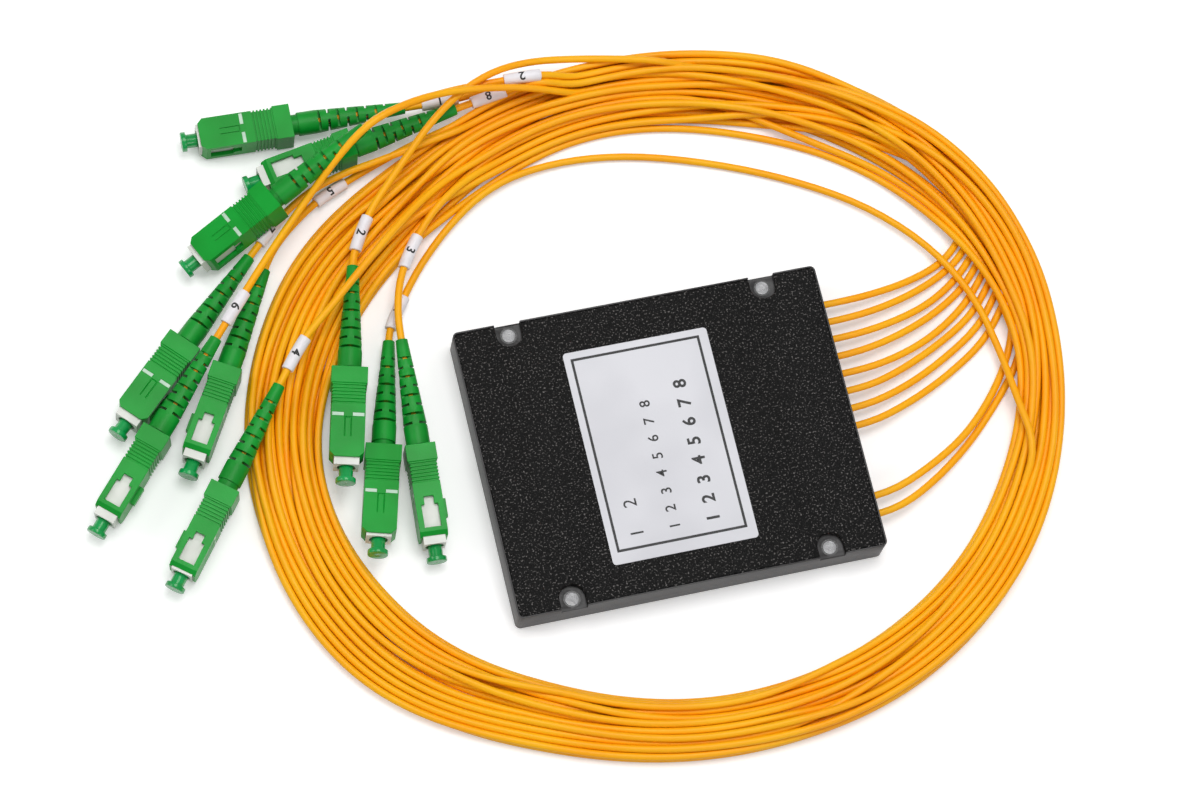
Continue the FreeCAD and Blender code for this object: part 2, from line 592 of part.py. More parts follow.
CORDS = {
    "in_1": Cord(
        8,
        [(55, -25, 5), (68, -19.8, 4.2), (80.5, -12.6, 3.0), (91, -2.4, 2.0), (98.3, 8, 1.1), (101.5, 16, 1.1)],
        [(-12, 107.4, 1.8), (-22, 108.0, 2.4)], 14, 0),
    "in_2": Cord(
        9,
        [(55, -30, 5), (67, -24.6, 3.6), (80.6, -15.2, 1.4), (92, -4.2, 1.1), (99.6, 4.4, 1.1),
         (104.0, 13.5, 1.1)],
        [(-1, 106.4, 3.8), (-9.5, 107.2, 7.0), (-20.8, 107.8, 9.0), (-34, 107.8, 10.6), (-45.5, 105.0, 14.6)],
        6, 4),
    "out_1": Cord(
        0,
        [(55, 30, 5), (65, 30.8, 4), (76, 32.9, 2), (85.8, 36.2, 1.1), (91.6, 40.5, 1.1), (95.4, 45.5, 1.1)],
        [(96.5, -21, 2.2), (95.6, -6, 3.6), (95.4, 8, 3.6), (92.7, 25, 3.4), (84.7, 41, 3.2), (71.7, 55.6, 2),
         (55.4, 66.6, 1.1), (36, 75.6, 1.1), (14, 82.8, 1.1), (-4, 85.4, 1.1), (-20, 84.2, 1.4),
         (-32, 80.0, 1.6), (-43, 72.6, 1.8), (-52.6, 63.4, 2.2), (-59.2, 55.0, 2.6)], 4, 1),
    "out_2": Cord(
        1,
        [(55, 25, 5), (66, 26.4, 4), (78, 29.8, 2), (87.6, 34.2, 1.1), (93.2, 38.4, 1.1), (97.4, 43.6, 1.1)],
        [(22, 105.6, 3.2), (10, 109.6, 4.6), (-2, 111.8, 6.8), (-12.5, 112.2, 10.0), (-23, 110.2, 12.8),
         (-33.5, 105.6, 13.2), (-43, 98.9, 11.8), (-50.5, 91.8, 10.0), (-57.8, 84.6, 9.4),
         (-64.3, 77.8, 9.0)], 4, 1),
    "out_3": Cord(
        2,
        [(55, 20, 5), (67, 21.6, 4), (79.5, 25.3, 2), (89, 31, 1.1), (95, 36.6, 1.1), (98.9, 41.6, 1.1)],
        [(-27, 87.4, 2.6), (-35, 84.0, 4.6), (-43.6, 78.6, 6.2), (-51.4, 71.4, 6.6), (-59.2, 60.4, 6.8)], 8, 2),
    "out_4": Cord(
        3,
        [(55, 15, 5), (67, 17.3, 4), (79.5, 21.9, 2), (90, 28, 1.1), (96.4, 34.4, 1.1), (100.4, 39.6, 1.1)],
        [(-30, 89.2, 2.8), (-39, 85.6, 5.4), (-49, 79.4, 8.4), (-59.5, 70.6, 11.4), (-71, 60.6, 12.6),
         (-80.5, 52.4, 11.8)], 14, 0),
    "out_5": Cord(
        4,
        [(55, 10, 5), (66, 11.7, 4), (78, 16, 2), (89.5, 23.2, 1.1), (97, 31.2, 1.1), (101.6, 37.2, 1.1)],
        [(-37, 99.0, 1.8), (-47, 97.4, 1.8), (-57.5, 94.0, 2.2), (-67.4, 90.2, 2.4), (-77, 85.8, 2.8),
         (-86, 79.0, 3.8)], 5, 3),
    "out_6": Cord(
        5,
        [(55, 5, 5), (65, 7.4, 4), (78, 13, 2), (90.5, 20, 1.1), (98.0, 28.2, 1.1), (102.6, 34.6, 1.1)],
        [(-4, 102.4, 3.6), (-13, 103.9, 7.6), (-24, 105.2, 10.0), (-37, 105.6, 10.4), (-49, 103.0, 12.0),
         (-60.5, 98.6, 12.8), (-70.2, 92.2, 11.0), (-81.4, 83.0, 9.0), (-91.8, 72.2, 9.8)], 14, 0),
    "out_7": Cord(
        6,
        [(55, 0, 5), (68, 3.7, 3.5), (80.5, 9.8, 1.5), (92, 16.8, 1.1), (99.4, 25.4, 1.1), (103.6, 31.8, 1.1)],
        [(-36, 97.4, 3.4), (-46, 96.0, 4.6), (-57, 93.4, 5.6), (-67, 91.6, 6.2), (-77.5, 88.6, 5.4)], 14, 0),
    "out_8": Cord(
        7,
        [(55, -5, 5), (67.5, -1, 3.5), (80, 4.9, 1.5), (92.5, 12.5, 1.1), (100.6, 22.0, 1.1),
         (104.8, 28.8, 1.1)],
        [(-2, 104.2, 2.6), (-11, 105.6, 4.4)], 14, 0),
}

# distances from the ring's centre to its two edges, every 30 degrees from +X
RING_CENTRE = Vector(0, 12, 0)
RING_OUTSIDE = [112, 114.2, 105.8, 98.5, 97, 105.8, 110.4, 110.4, 99.3, 97.2, 102, 108]
RING_INSIDE = [99.3, 92, 81.4, 77.6, 75.2, 81.6, 90.2, 87.4, 80.8, 80.7, 85, 92.6]


def turned(name, slide=0.0):
    """Where a connector piece drawn along X goes; slide moves it along its own axis."""
    pose = POSES[name]
    turn = Rotation(Vector(0, 0, 1), pose.heading)
    turn = turn.multiply(Rotation(Vector(0, 1, 0), pose.dip))
    turn = turn.multiply(Rotation(Vector(1, 0, 0), pose.roll))
    return Placement(Vector(*pose.tip) + turn.multVec(Vector(slide, 0, 0)), turn)


def copy_of(label, shape, name, slide=0.0):
    obj = group(label, [shape])
    obj.Placement = turned(name, slide)
    return obj


def on_axis(name, distance):
    """The point on a connector's axis at this distance from the boot's thin end."""
    return turned(name).multVec(Vector(distance, 0, 0))


def tail_points(name):
    cord = CORDS[name]
    points = [Vector(*point) for point in cord.tail]
    return points + [on_axis(name, -cord.straight), on_axis(name, size(CORD_END))]


def lead_points(name):
    cord = CORDS[name]
    start = Vector(size(RIB_FRONT), size(EXIT_Y[cord.exit]), size("cord_level"))
    return [start] + [Vector(*point) for point in cord.lead]


def make_cord(name):
    """The cord's way from the case to the ring and its way from the ring to its connector."""
    solids = []
    for points in (lead_points(name), tail_points(name)):
        solid, length, radius = tube(points, size("cord_diameter"))
        solids.append(solid)
        print(f"cord_{name}: {length:.1f} mm with bends of {radius:.1f} mm or more")
    return drawn(f"cord_{name}", Part.makeCompound(solids))


def make_marker(name):
    """A short hollow cylinder gripping the cord."""
    cord = CORDS[name]
    length = size("marker_length")
    if cord.marker == 0:
        start = on_axis(name, -size("marker_reach") - length)
        along = on_axis(name, 0) - start
    else:
        points = tail_points(name)
        run = points[-2 - cord.marker:][:2]
        along = run[1] - run[0]
        start = (run[0] + run[1]) * 0.5 - Vector(along).normalize() * (length / 2)
    outer = Part.makeCylinder(size("marker_diameter") / 2, length, start, along)
    bore_radius = size("cord_diameter") / 2 + size("marker_clearance")
    return outer.cut(Part.makeCylinder(bore_radius, length, start, along))


def ring_edge(distances):
    """A closed smooth line through the points at these distances from the ring's centre."""
    points = []
    for i, distance in enumerate(distances):
        angle = 2 * math.pi * i / len(distances)
        points.append(RING_CENTRE + Vector(math.cos(angle), math.sin(angle), 0) * distance)
    line = Part.BSplineCurve()
    line.interpolate(Points=points, PeriodicFlag=True)
    return Part.Wire(line.toShape())


def make_cord_coil():
    """The room that the coiled stretch of all ten cords takes."""
    face = Part.makeFace([ring_edge(RING_OUTSIDE), ring_edge(RING_INSIDE)], "Part::FaceMakerBullseye")
    return drawn("cord_coil", face.extrude(Vector(0, 0, size("coil_height"))))


# ------------------------------------------------------------------ the whole object

sub_parts = [
    make_case_base(),
    make_case_cover(),
    make_cover_label(),
    make_corner_bushes(),
    make_splitter_chip(),
    make_inner_fibres(),
    make_cord_coil(),
]
sleeve = make_sleeve()
plug_frame = make_plug_frame()
ferrule = make_ferrule()
spring = make_spring()
dust_cap = make_dust_cap()
boot = make_boot()
boots = []
frames = []
for name in CORDS:
    sub_parts.append(make_cord(name))
    sub_parts.append(copy_of(f"sleeve_{name}", sleeve, name, -POSES[name].back))
    sub_parts.append(copy_of(f"dust_cap_{name}", dust_cap, name))
    sub_parts.append(copy_of(f"ferrule_{name}", ferrule, name))
    sub_parts.append(copy_of(f"ferrule_spring_{name}", spring, name))
    boots.append(copy_of(f"boot_{name}", boot, name))
    frames.append(copy_of(f"plug_frame_{name}", plug_frame, name))
sub_parts.append(group("connector_boots", boots))
sub_parts.append(group("plug_frames", frames))
sub_parts.append(drawn("cord_markers", Part.makeCompound([make_marker(name) for name in CORDS])))

for sub_part in sub_parts:
    sub_part.Label = sub_part.Name
doc.recompute()

for obj in doc.Objects:
    if "Invalid" in obj.State or "Error" in obj.State:
        raise RuntimeError(f"{obj.Name} did not build: {obj.State}")
for sub_part in sub_parts:
    if sub_part.Shape.isNull() or not sub_part.Shape.isValid():
        raise RuntimeError(f"{sub_part.Name} has no valid shape")

os.makedirs("parts", exist_ok=True)
for sub_part in sub_parts:
    sub_part.Shape.exportStep(f"parts/{sub_part.Label}.step")
print(f"{len(sub_parts)} sub-parts")
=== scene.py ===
"""Looks of the splitter module: its case, its ten jacketed cords in a loose ring, and their connectors."""
import math
from collections import namedtuple

import bmesh
import bpy
import numpy as np
from mathutils import Matrix, Vector


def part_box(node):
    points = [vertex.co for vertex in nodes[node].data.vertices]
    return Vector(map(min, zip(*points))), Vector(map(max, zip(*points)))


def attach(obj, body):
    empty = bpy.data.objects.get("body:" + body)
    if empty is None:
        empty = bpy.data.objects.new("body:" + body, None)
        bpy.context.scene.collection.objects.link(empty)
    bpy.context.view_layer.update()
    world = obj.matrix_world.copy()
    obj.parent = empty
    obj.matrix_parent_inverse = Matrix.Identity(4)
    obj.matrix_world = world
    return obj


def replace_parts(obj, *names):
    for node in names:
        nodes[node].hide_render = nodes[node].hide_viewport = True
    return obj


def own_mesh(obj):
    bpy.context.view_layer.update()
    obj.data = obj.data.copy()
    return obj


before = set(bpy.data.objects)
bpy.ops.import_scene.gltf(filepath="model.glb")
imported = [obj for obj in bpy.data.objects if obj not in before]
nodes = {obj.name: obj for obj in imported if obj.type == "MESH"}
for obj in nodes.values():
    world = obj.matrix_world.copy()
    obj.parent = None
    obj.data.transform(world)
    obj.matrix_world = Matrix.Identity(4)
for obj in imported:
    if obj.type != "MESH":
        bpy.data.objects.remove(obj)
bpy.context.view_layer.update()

scene = bpy.context.scene

# ------------------------------------------------------------------ camera, light and floor

WHITE = (1.0, 1.0, 1.0, 1.0)


def add_object(name, data):
    obj = bpy.data.objects.new(name, data)
    scene.collection.objects.link(obj)
    return obj


camera = add_object("camera", bpy.data.cameras.new("camera"))
camera.data.sensor_width = 36.0
camera.data.lens = 120.317
camera.data.clip_start = 0.05
camera.data.clip_end = 20.0
camera.location = (-0.19576, -0.28937, 1.00914)
camera.rotation_euler = [math.radians(angle) for angle in (18.5366, -6.0201, -13.33)]
scene.camera = camera
scene.view_settings.view_transform = "Standard"


def soft_light(name, place, aim, size, power):
    lamp = bpy.data.lights.new(name, "AREA")
    lamp.shape = "DISK"
    lamp.size = size
    lamp.energy = power
    obj = add_object(name, lamp)
    obj.location = place
    obj.rotation_euler = (Vector(aim) - Vector(place)).to_track_quat("-Z", "Y").to_euler()
    return obj


soft_light("overhead_light", (0.1, 0.25, 1.5), (0, 0, 0), 0.9, 10.5)
soft_light("side_light", (-1.1, 0.5, 0.9), (0, 0, 0), 0.6, 3.0)
soft_light("front_light", (0.5, -1.2, 1.0), (0, 0, 0), 0.6, 3.0)


# ------------------------------------------------------------------ materials

def new_group(name, inputs, outputs):
    """An empty node group with number inputs and number or vector outputs."""
    group = bpy.data.node_groups.new(name, "ShaderNodeTree")
    for label, value in inputs:
        socket = group.interface.new_socket(label, in_out="INPUT", socket_type="NodeSocketFloat")
        socket.default_value = value
    for label, kind in outputs:
        group.interface.new_socket(label, in_out="OUTPUT", socket_type=kind)
    return group, group.nodes.new("NodeGroupInput"), group.nodes.new("NodeGroupOutput")


def grain_group():
    """Fine grain in the object's own space: a mask from 0 to 1, and a bumped normal."""
    group, given, made = new_group("grain", [("Scale", 1000.0), ("Detail", 2.0), ("Depth", 0.1)],
                                   [("Mask", "NodeSocketFloat"), ("Normal", "NodeSocketVector")])
    add, link = group.nodes.new, group.links.new
    place = add("ShaderNodeTexCoord")
    noise = add("ShaderNodeTexNoise")
    link(place.outputs["Object"], noise.inputs["Vector"])
    link(given.outputs["Scale"], noise.inputs["Scale"])
    link(given.outputs["Detail"], noise.inputs["Detail"])
    bump = add("ShaderNodeBump")
    bump.inputs["Distance"].default_value = 0.0002
    link(given.outputs["Depth"], bump.inputs["Strength"])
    link(noise.outputs["Fac"], bump.inputs["Height"])
    link(noise.outputs["Fac"], made.inputs["Mask"])
    link(bump.outputs["Normal"], made.inputs["Normal"])
    return group


def pebble_group():
    """The pebbled skin of a moulded cover: a mask of painted highlights on the tops of the pebbles, and a
    bumped normal.
    """
    group, given, made = new_group("pebbles", [("Scale", 1500.0), ("Depth", 0.6)],
                                   [("Painted highlights", "NodeSocketFloat"), ("Normal", "NodeSocketVector")])
    add, link = group.nodes.new, group.links.new
    place = add("ShaderNodeTexCoord")
    cells = add("ShaderNodeTexVoronoi")
    cells.feature = "F1"
    noise = add("ShaderNodeTexNoise")
    noise.inputs["Detail"].default_value = 3.0
    for texture in (cells, noise):
        link(place.outputs["Object"], texture.inputs["Vector"])
        link(given.outputs["Scale"], texture.inputs["Scale"])
    height = add("ShaderNodeMath")
    height.operation = "MULTIPLY_ADD"
    link(noise.outputs["Fac"], height.inputs[0])
    height.inputs[1].default_value = 1.2
    link(cells.outputs["Distance"], height.inputs[2])
    bump = add("ShaderNodeBump")
    bump.inputs["Distance"].default_value = 0.00025
    link(given.outputs["Depth"], bump.inputs["Strength"])
    link(height.outputs["Value"], bump.inputs["Height"])
    # painted highlights: where the noise that raises the pebbles is highest, their tops get a pale colour
    painted_highlights = add("ShaderNodeMapRange")
    painted_highlights.inputs["From Min"].default_value = 0.58
    painted_highlights.inputs["From Max"].default_value = 0.68
    link(noise.outputs["Fac"], painted_highlights.inputs["Value"])
    link(painted_highlights.outputs["Result"], made.inputs["Painted highlights"])
    link(bump.outputs["Normal"], made.inputs["Normal"])
    return group


def tint_group():
    """Slow changes of shade across a surface: a mask from 0 to 1."""
    group, given, made = new_group("tint", [("Scale", 40.0)], [("Mask", "NodeSocketFloat")])
    add, link = group.nodes.new, group.links.new
    place = add("ShaderNodeTexCoord")
    noise = add("ShaderNodeTexNoise")
    noise.inputs["Detail"].default_value = 1.0
    link(place.outputs["Object"], noise.inputs["Vector"])
    link(given.outputs["Scale"], noise.inputs["Scale"])
    link(noise.outputs["Fac"], made.inputs["Mask"])
    return group


GRAIN, PEBBLES, TINT = grain_group(), pebble_group(), tint_group()


def use_group(tree, group, **values):
    node = tree.nodes.new("ShaderNodeGroup")
    node.node_tree = group
    for label, value in values.items():
        node.inputs[label].default_value = value
    return node


def colour_between(tree, mask, low, high, dark, pale):
    """A colour that goes from dark to pale as the mask goes from low to high."""
    ramp = tree.nodes.new("ShaderNodeValToRGB")
    ramp.color_ramp.elements[0].position = low
    ramp.color_ramp.elements[0].color = (*dark, 1.0)
    ramp.color_ramp.elements[1].position = high
    ramp.color_ramp.elements[1].color = (*pale, 1.0)
    tree.links.new(mask, ramp.inputs["Fac"])
    return ramp.outputs["Color"]


def value_between(tree, mask, low, high):
    span = tree.nodes.new("ShaderNodeMapRange")
    span.inputs["From Min"].default_value = 0.3
    span.inputs["From Max"].default_value = 0.7
    span.inputs["To Min"].default_value = low
    span.inputs["To Max"].default_value = high
    tree.links.new(mask, span.inputs["Value"])
    return span.outputs["Result"]


def finish_of(name, dark, pale, gloss=(0.35, 0.45), grain=2500.0, depth=0.1, tint=40.0, **settings):
    """A material whose colour drifts from dark to pale, with fine grain in its gloss and its normal."""
    material = bpy.data.materials.new(name)
    material.use_nodes = True
    tree = material.node_tree
    shader = tree.nodes["Principled BSDF"]
    drift = use_group(tree, TINT, Scale=tint)
    fine = use_group(tree, GRAIN, Scale=grain, Depth=depth)
    colour = colour_between(tree, drift.outputs["Mask"], 0.35, 0.65, dark, pale)
    tree.links.new(colour, shader.inputs["Base Color"])
    tree.links.new(value_between(tree, fine.outputs["Mask"], *gloss), shader.inputs["Roughness"])
    tree.links.new(fine.outputs["Normal"], shader.inputs["Normal"])
    for label, value in settings.items():
        shader.inputs[label.replace("_", " ")].default_value = value
    return material


def cover_finish():
    material = bpy.data.materials.new("cover_plastic")
    material.use_nodes = True
    tree = material.node_tree
    shader = tree.nodes["Principled BSDF"]
    skin = use_group(tree, PEBBLES, Scale=2000.0, Depth=0.9)
    # near-black plastic, with the tops of its pebbles painted pale grey as painted highlights
    tree.links.new(colour_between(tree, skin.outputs["Painted highlights"], 0.0, 1.0, (0.002, 0.002, 0.002),
                                  (0.17, 0.16, 0.155)), shader.inputs["Base Color"])
    tree.links.new(skin.outputs["Normal"], shader.inputs["Normal"])
    shader.inputs["Roughness"].default_value = 0.55
    shader.inputs["Specular IOR Level"].default_value = 0.2
    return material


def bush_finish():
    """Turned metal, bright inside the bore, with painted shade: faces turned upwards, on its rim, are painted
    near black and not metallic.
    """
    material = finish_of("bush_metal", (0.75, 0.75, 0.76), (0.9, 0.9, 0.91), (0.2, 0.38), 2500, 0.25, 700)
    tree = material.node_tree
    shader = tree.nodes["Principled BSDF"]
    bright = shader.inputs["Base Color"].links[0].from_socket
    # a mask of the faces turned upwards, where painted shade darkens the rim
    surface = tree.nodes.new("ShaderNodeNewGeometry")
    split = tree.nodes.new("ShaderNodeSeparateXYZ")
    tree.links.new(surface.outputs["True Normal"], split.inputs["Vector"])
    rim = tree.nodes.new("ShaderNodeMapRange")
    rim.inputs["From Min"].default_value = 0.5
    rim.inputs["From Max"].default_value = 0.9
    tree.links.new(split.outputs["Z"], rim.inputs["Value"])
    # painted shade: near black where a face turns upwards, the bright metal elsewhere
    colour = tree.nodes.new("ShaderNodeMix")
    colour.data_type = "RGBA"
    tree.links.new(rim.outputs["Result"], colour.inputs["Factor"])
    tree.links.new(bright, colour.inputs["A"])
    colour.inputs["B"].default_value = (0.012, 0.012, 0.012, 1.0)
    tree.links.new(colour.outputs["Result"], shader.inputs["Base Color"])
    metal = tree.nodes.new("ShaderNodeMath")
    metal.operation = "SUBTRACT"
    metal.inputs[0].default_value = 1.0
    tree.links.new(rim.outputs["Result"], metal.inputs[1])
    tree.links.new(metal.outputs["Value"], shader.inputs["Metallic"])
    return material


FINISHES = {
    "case_plastic": finish_of("case_plastic", (0.014, 0.013, 0.013), (0.022, 0.020, 0.021), (0.38, 0.5),
                              3500, 0.12),
    "cover_plastic": cover_finish(),
    "label": finish_of("label", (0.66, 0.66, 0.70), (0.72, 0.72, 0.76), (0.45, 0.6), 1800, 0.05, 60),
    "ink": finish_of("ink", (0.008, 0.008, 0.009), (0.016, 0.016, 0.018), (0.4, 0.6), 4000, 0.05, 300),
    "bush_metal": bush_finish(),
    "chip_steel": finish_of("chip_steel", (0.45, 0.45, 0.46), (0.6, 0.6, 0.61), (0.25, 0.4), 900, 0.1,
                            200, Metallic=1.0),
    "bare_fibre": finish_of("bare_fibre", (0.78, 0.78, 0.78), (0.86, 0.86, 0.86), (0.35, 0.45), 3000,
                            0.05),
    "cord_jacket": finish_of("cord_jacket", (1.0, 0.405, 0.0), (1.0, 0.48, 0.002), (0.36, 0.48), 3200,
                             0.06, 45, Specular_IOR_Level=0.3),
    "boot_rubber": finish_of("boot_rubber", (0.0, 0.25, 0.018), (0.002, 0.32, 0.028), (0.4, 0.52), 3500,
                             0.1, 120, Specular_IOR_Level=0.3),
    "sleeve_plastic": finish_of("sleeve_plastic", (0.0, 0.28, 0.020), (0.002, 0.34, 0.030), (0.3, 0.42),
                                2600, 0.08, 90, Specular_IOR_Level=0.22),
    "stripe": finish_of("stripe", (0.45, 0.66, 0.50), (0.55, 0.74, 0.58), (0.4, 0.5), 3000, 0.05, 300),
    "frame_plastic": finish_of("frame_plastic", (0.70, 0.71, 0.66), (0.78, 0.79, 0.74), (0.35, 0.5),
                               3000, 0.05, 200),
    "ferrule_ceramic": finish_of("ferrule_ceramic", (0.84, 0.84, 0.82), (0.9, 0.9, 0.88), (0.08, 0.16),
                                 4000, 0.02, 200),
    "spring_steel": finish_of("spring_steel", (0.42, 0.42, 0.43), (0.6, 0.6, 0.61), (0.2, 0.35), 5000,
                              0.1, 900, Metallic=1.0),
    "cap_plastic": finish_of("cap_plastic", (0.0, 0.30, 0.055), (0.004, 0.38, 0.085), (0.16, 0.26),
                             2500, 0.05, 200, Transmission_Weight=0.05, IOR=1.48),
    "marker_sleeve": finish_of("marker_sleeve", (0.82, 0.79, 0.82), (0.88, 0.85, 0.88), (0.4, 0.55),
                               3000, 0.08, 250),
}


def floor_finish():
    """A pale floor: white where the camera, a reflection or a clear piece sees it, greyer where it lights."""
    material = bpy.data.materials.new("floor")
    material.use_nodes = True
    tree = material.node_tree
    shader = tree.nodes["Principled BSDF"]
    shader.inputs["Roughness"].default_value = 0.9
    shader.inputs["Specular IOR Level"].default_value = 0.0
    ray = tree.nodes.new("ShaderNodeLightPath")
    seen = None
    for label in ("Is Camera Ray", "Is Glossy Ray", "Is Transmission Ray"):
        if seen is None:
            seen = ray.outputs[label]
            continue
        both = tree.nodes.new("ShaderNodeMath")
        both.operation = "MAXIMUM"
        tree.links.new(seen, both.inputs[0])
        tree.links.new(ray.outputs[label], both.inputs[1])
        seen = both.outputs["Value"]
    tree.links.new(colour_between(tree, seen, 0.0, 1.0, (0.55, 0.55, 0.55), (1.0, 1.0, 1.0)),
                   shader.inputs["Base Color"])
    lift = tree.nodes.new("ShaderNodeMath")
    lift.operation = "MULTIPLY"
    lift.inputs[1].default_value = 0.22
    tree.links.new(seen, lift.inputs[0])
    tree.links.new(lift.outputs["Value"], shader.inputs["Emission Strength"])
    shader.inputs["Emission Color"].default_value = WHITE
    return material


FLOOR_REACH = 6.0
FLOOR_LEVEL = -0.0001
floor_mesh = bpy.data.meshes.new("floor")
floor_mesh.from_pydata([(x * FLOOR_REACH, y * FLOOR_REACH, FLOOR_LEVEL)
                        for x, y in ((-1, -1), (1, -1), (1, 1), (-1, 1))], [], [(0, 1, 2, 3)])
floor = add_object("floor", floor_mesh)
floor.data.materials.append(floor_finish())

world = bpy.data.worlds.new("studio")
world.use_nodes = True
world.node_tree.nodes["Background"].inputs["Color"].default_value = WHITE
world.node_tree.nodes["Background"].inputs["Strength"].default_value = 0.45
scene.world = world


# ------------------------------------------------------------------ where the cords lie

CORD_DIAMETER = 0.002
CORD_LEVEL = 0.005
EXIT_X = 0.047
EXIT_Y = [0.030, 0.025, 0.020, 0.015, 0.010, 0.005, 0.0, -0.005, -0.025, -0.030]
CORD_END = 0.027
IN_BOOT = 0.002

# tip: the thin end of the boot; heading: where the connector points, seen from above; dip: how far its
# front is lowered; roll: 0 with its key below; back: how far its sleeve is pulled back
Pose = namedtuple("Pose", "tip heading dip roll back")
POSES = {
    "in_1": Pose((-0.0477, 0.1073, 0.0048), 178.6, 0.0, 0.0, 0.0002),
    "in_2": Pose((-0.0613, 0.0987, 0.0176), 205.5, 12.6, 12.0, 0.0009),
    "out_1": Pose((-0.0660, 0.0430, 0.0033), 254.6, -5.4, 0.0, 0.0003),
    "out_2": Pose((-0.0714, 0.0641, 0.0078), 255.9, -1.9, 0.0, 0.0016),
    "out_3": Pose((-0.0631, 0.0415, 0.0074), 266.5, 2.6, 90.0, 0.0015),
    "out_4": Pose((-0.0975, 0.0350, 0.0090), 231.8, 4.0, -90.0, 0.0),
    "out_5": Pose((-0.0943, 0.0687, 0.0049), 239.1, 0.0, -90.0, 0.0015),
    "out_6": Pose((-0.1111, 0.0508, 0.0094), 227.7, 4.8, 90.0, 0.0015),
    "out_7": Pose((-0.0975, 0.0732, 0.0043), 223.8, -0.6, 0.0, 0.0016),
    "out_8": Pose((-0.0344, 0.1038, 0.0063), 190.0, 1.6, 90.0, 0.0012),
}

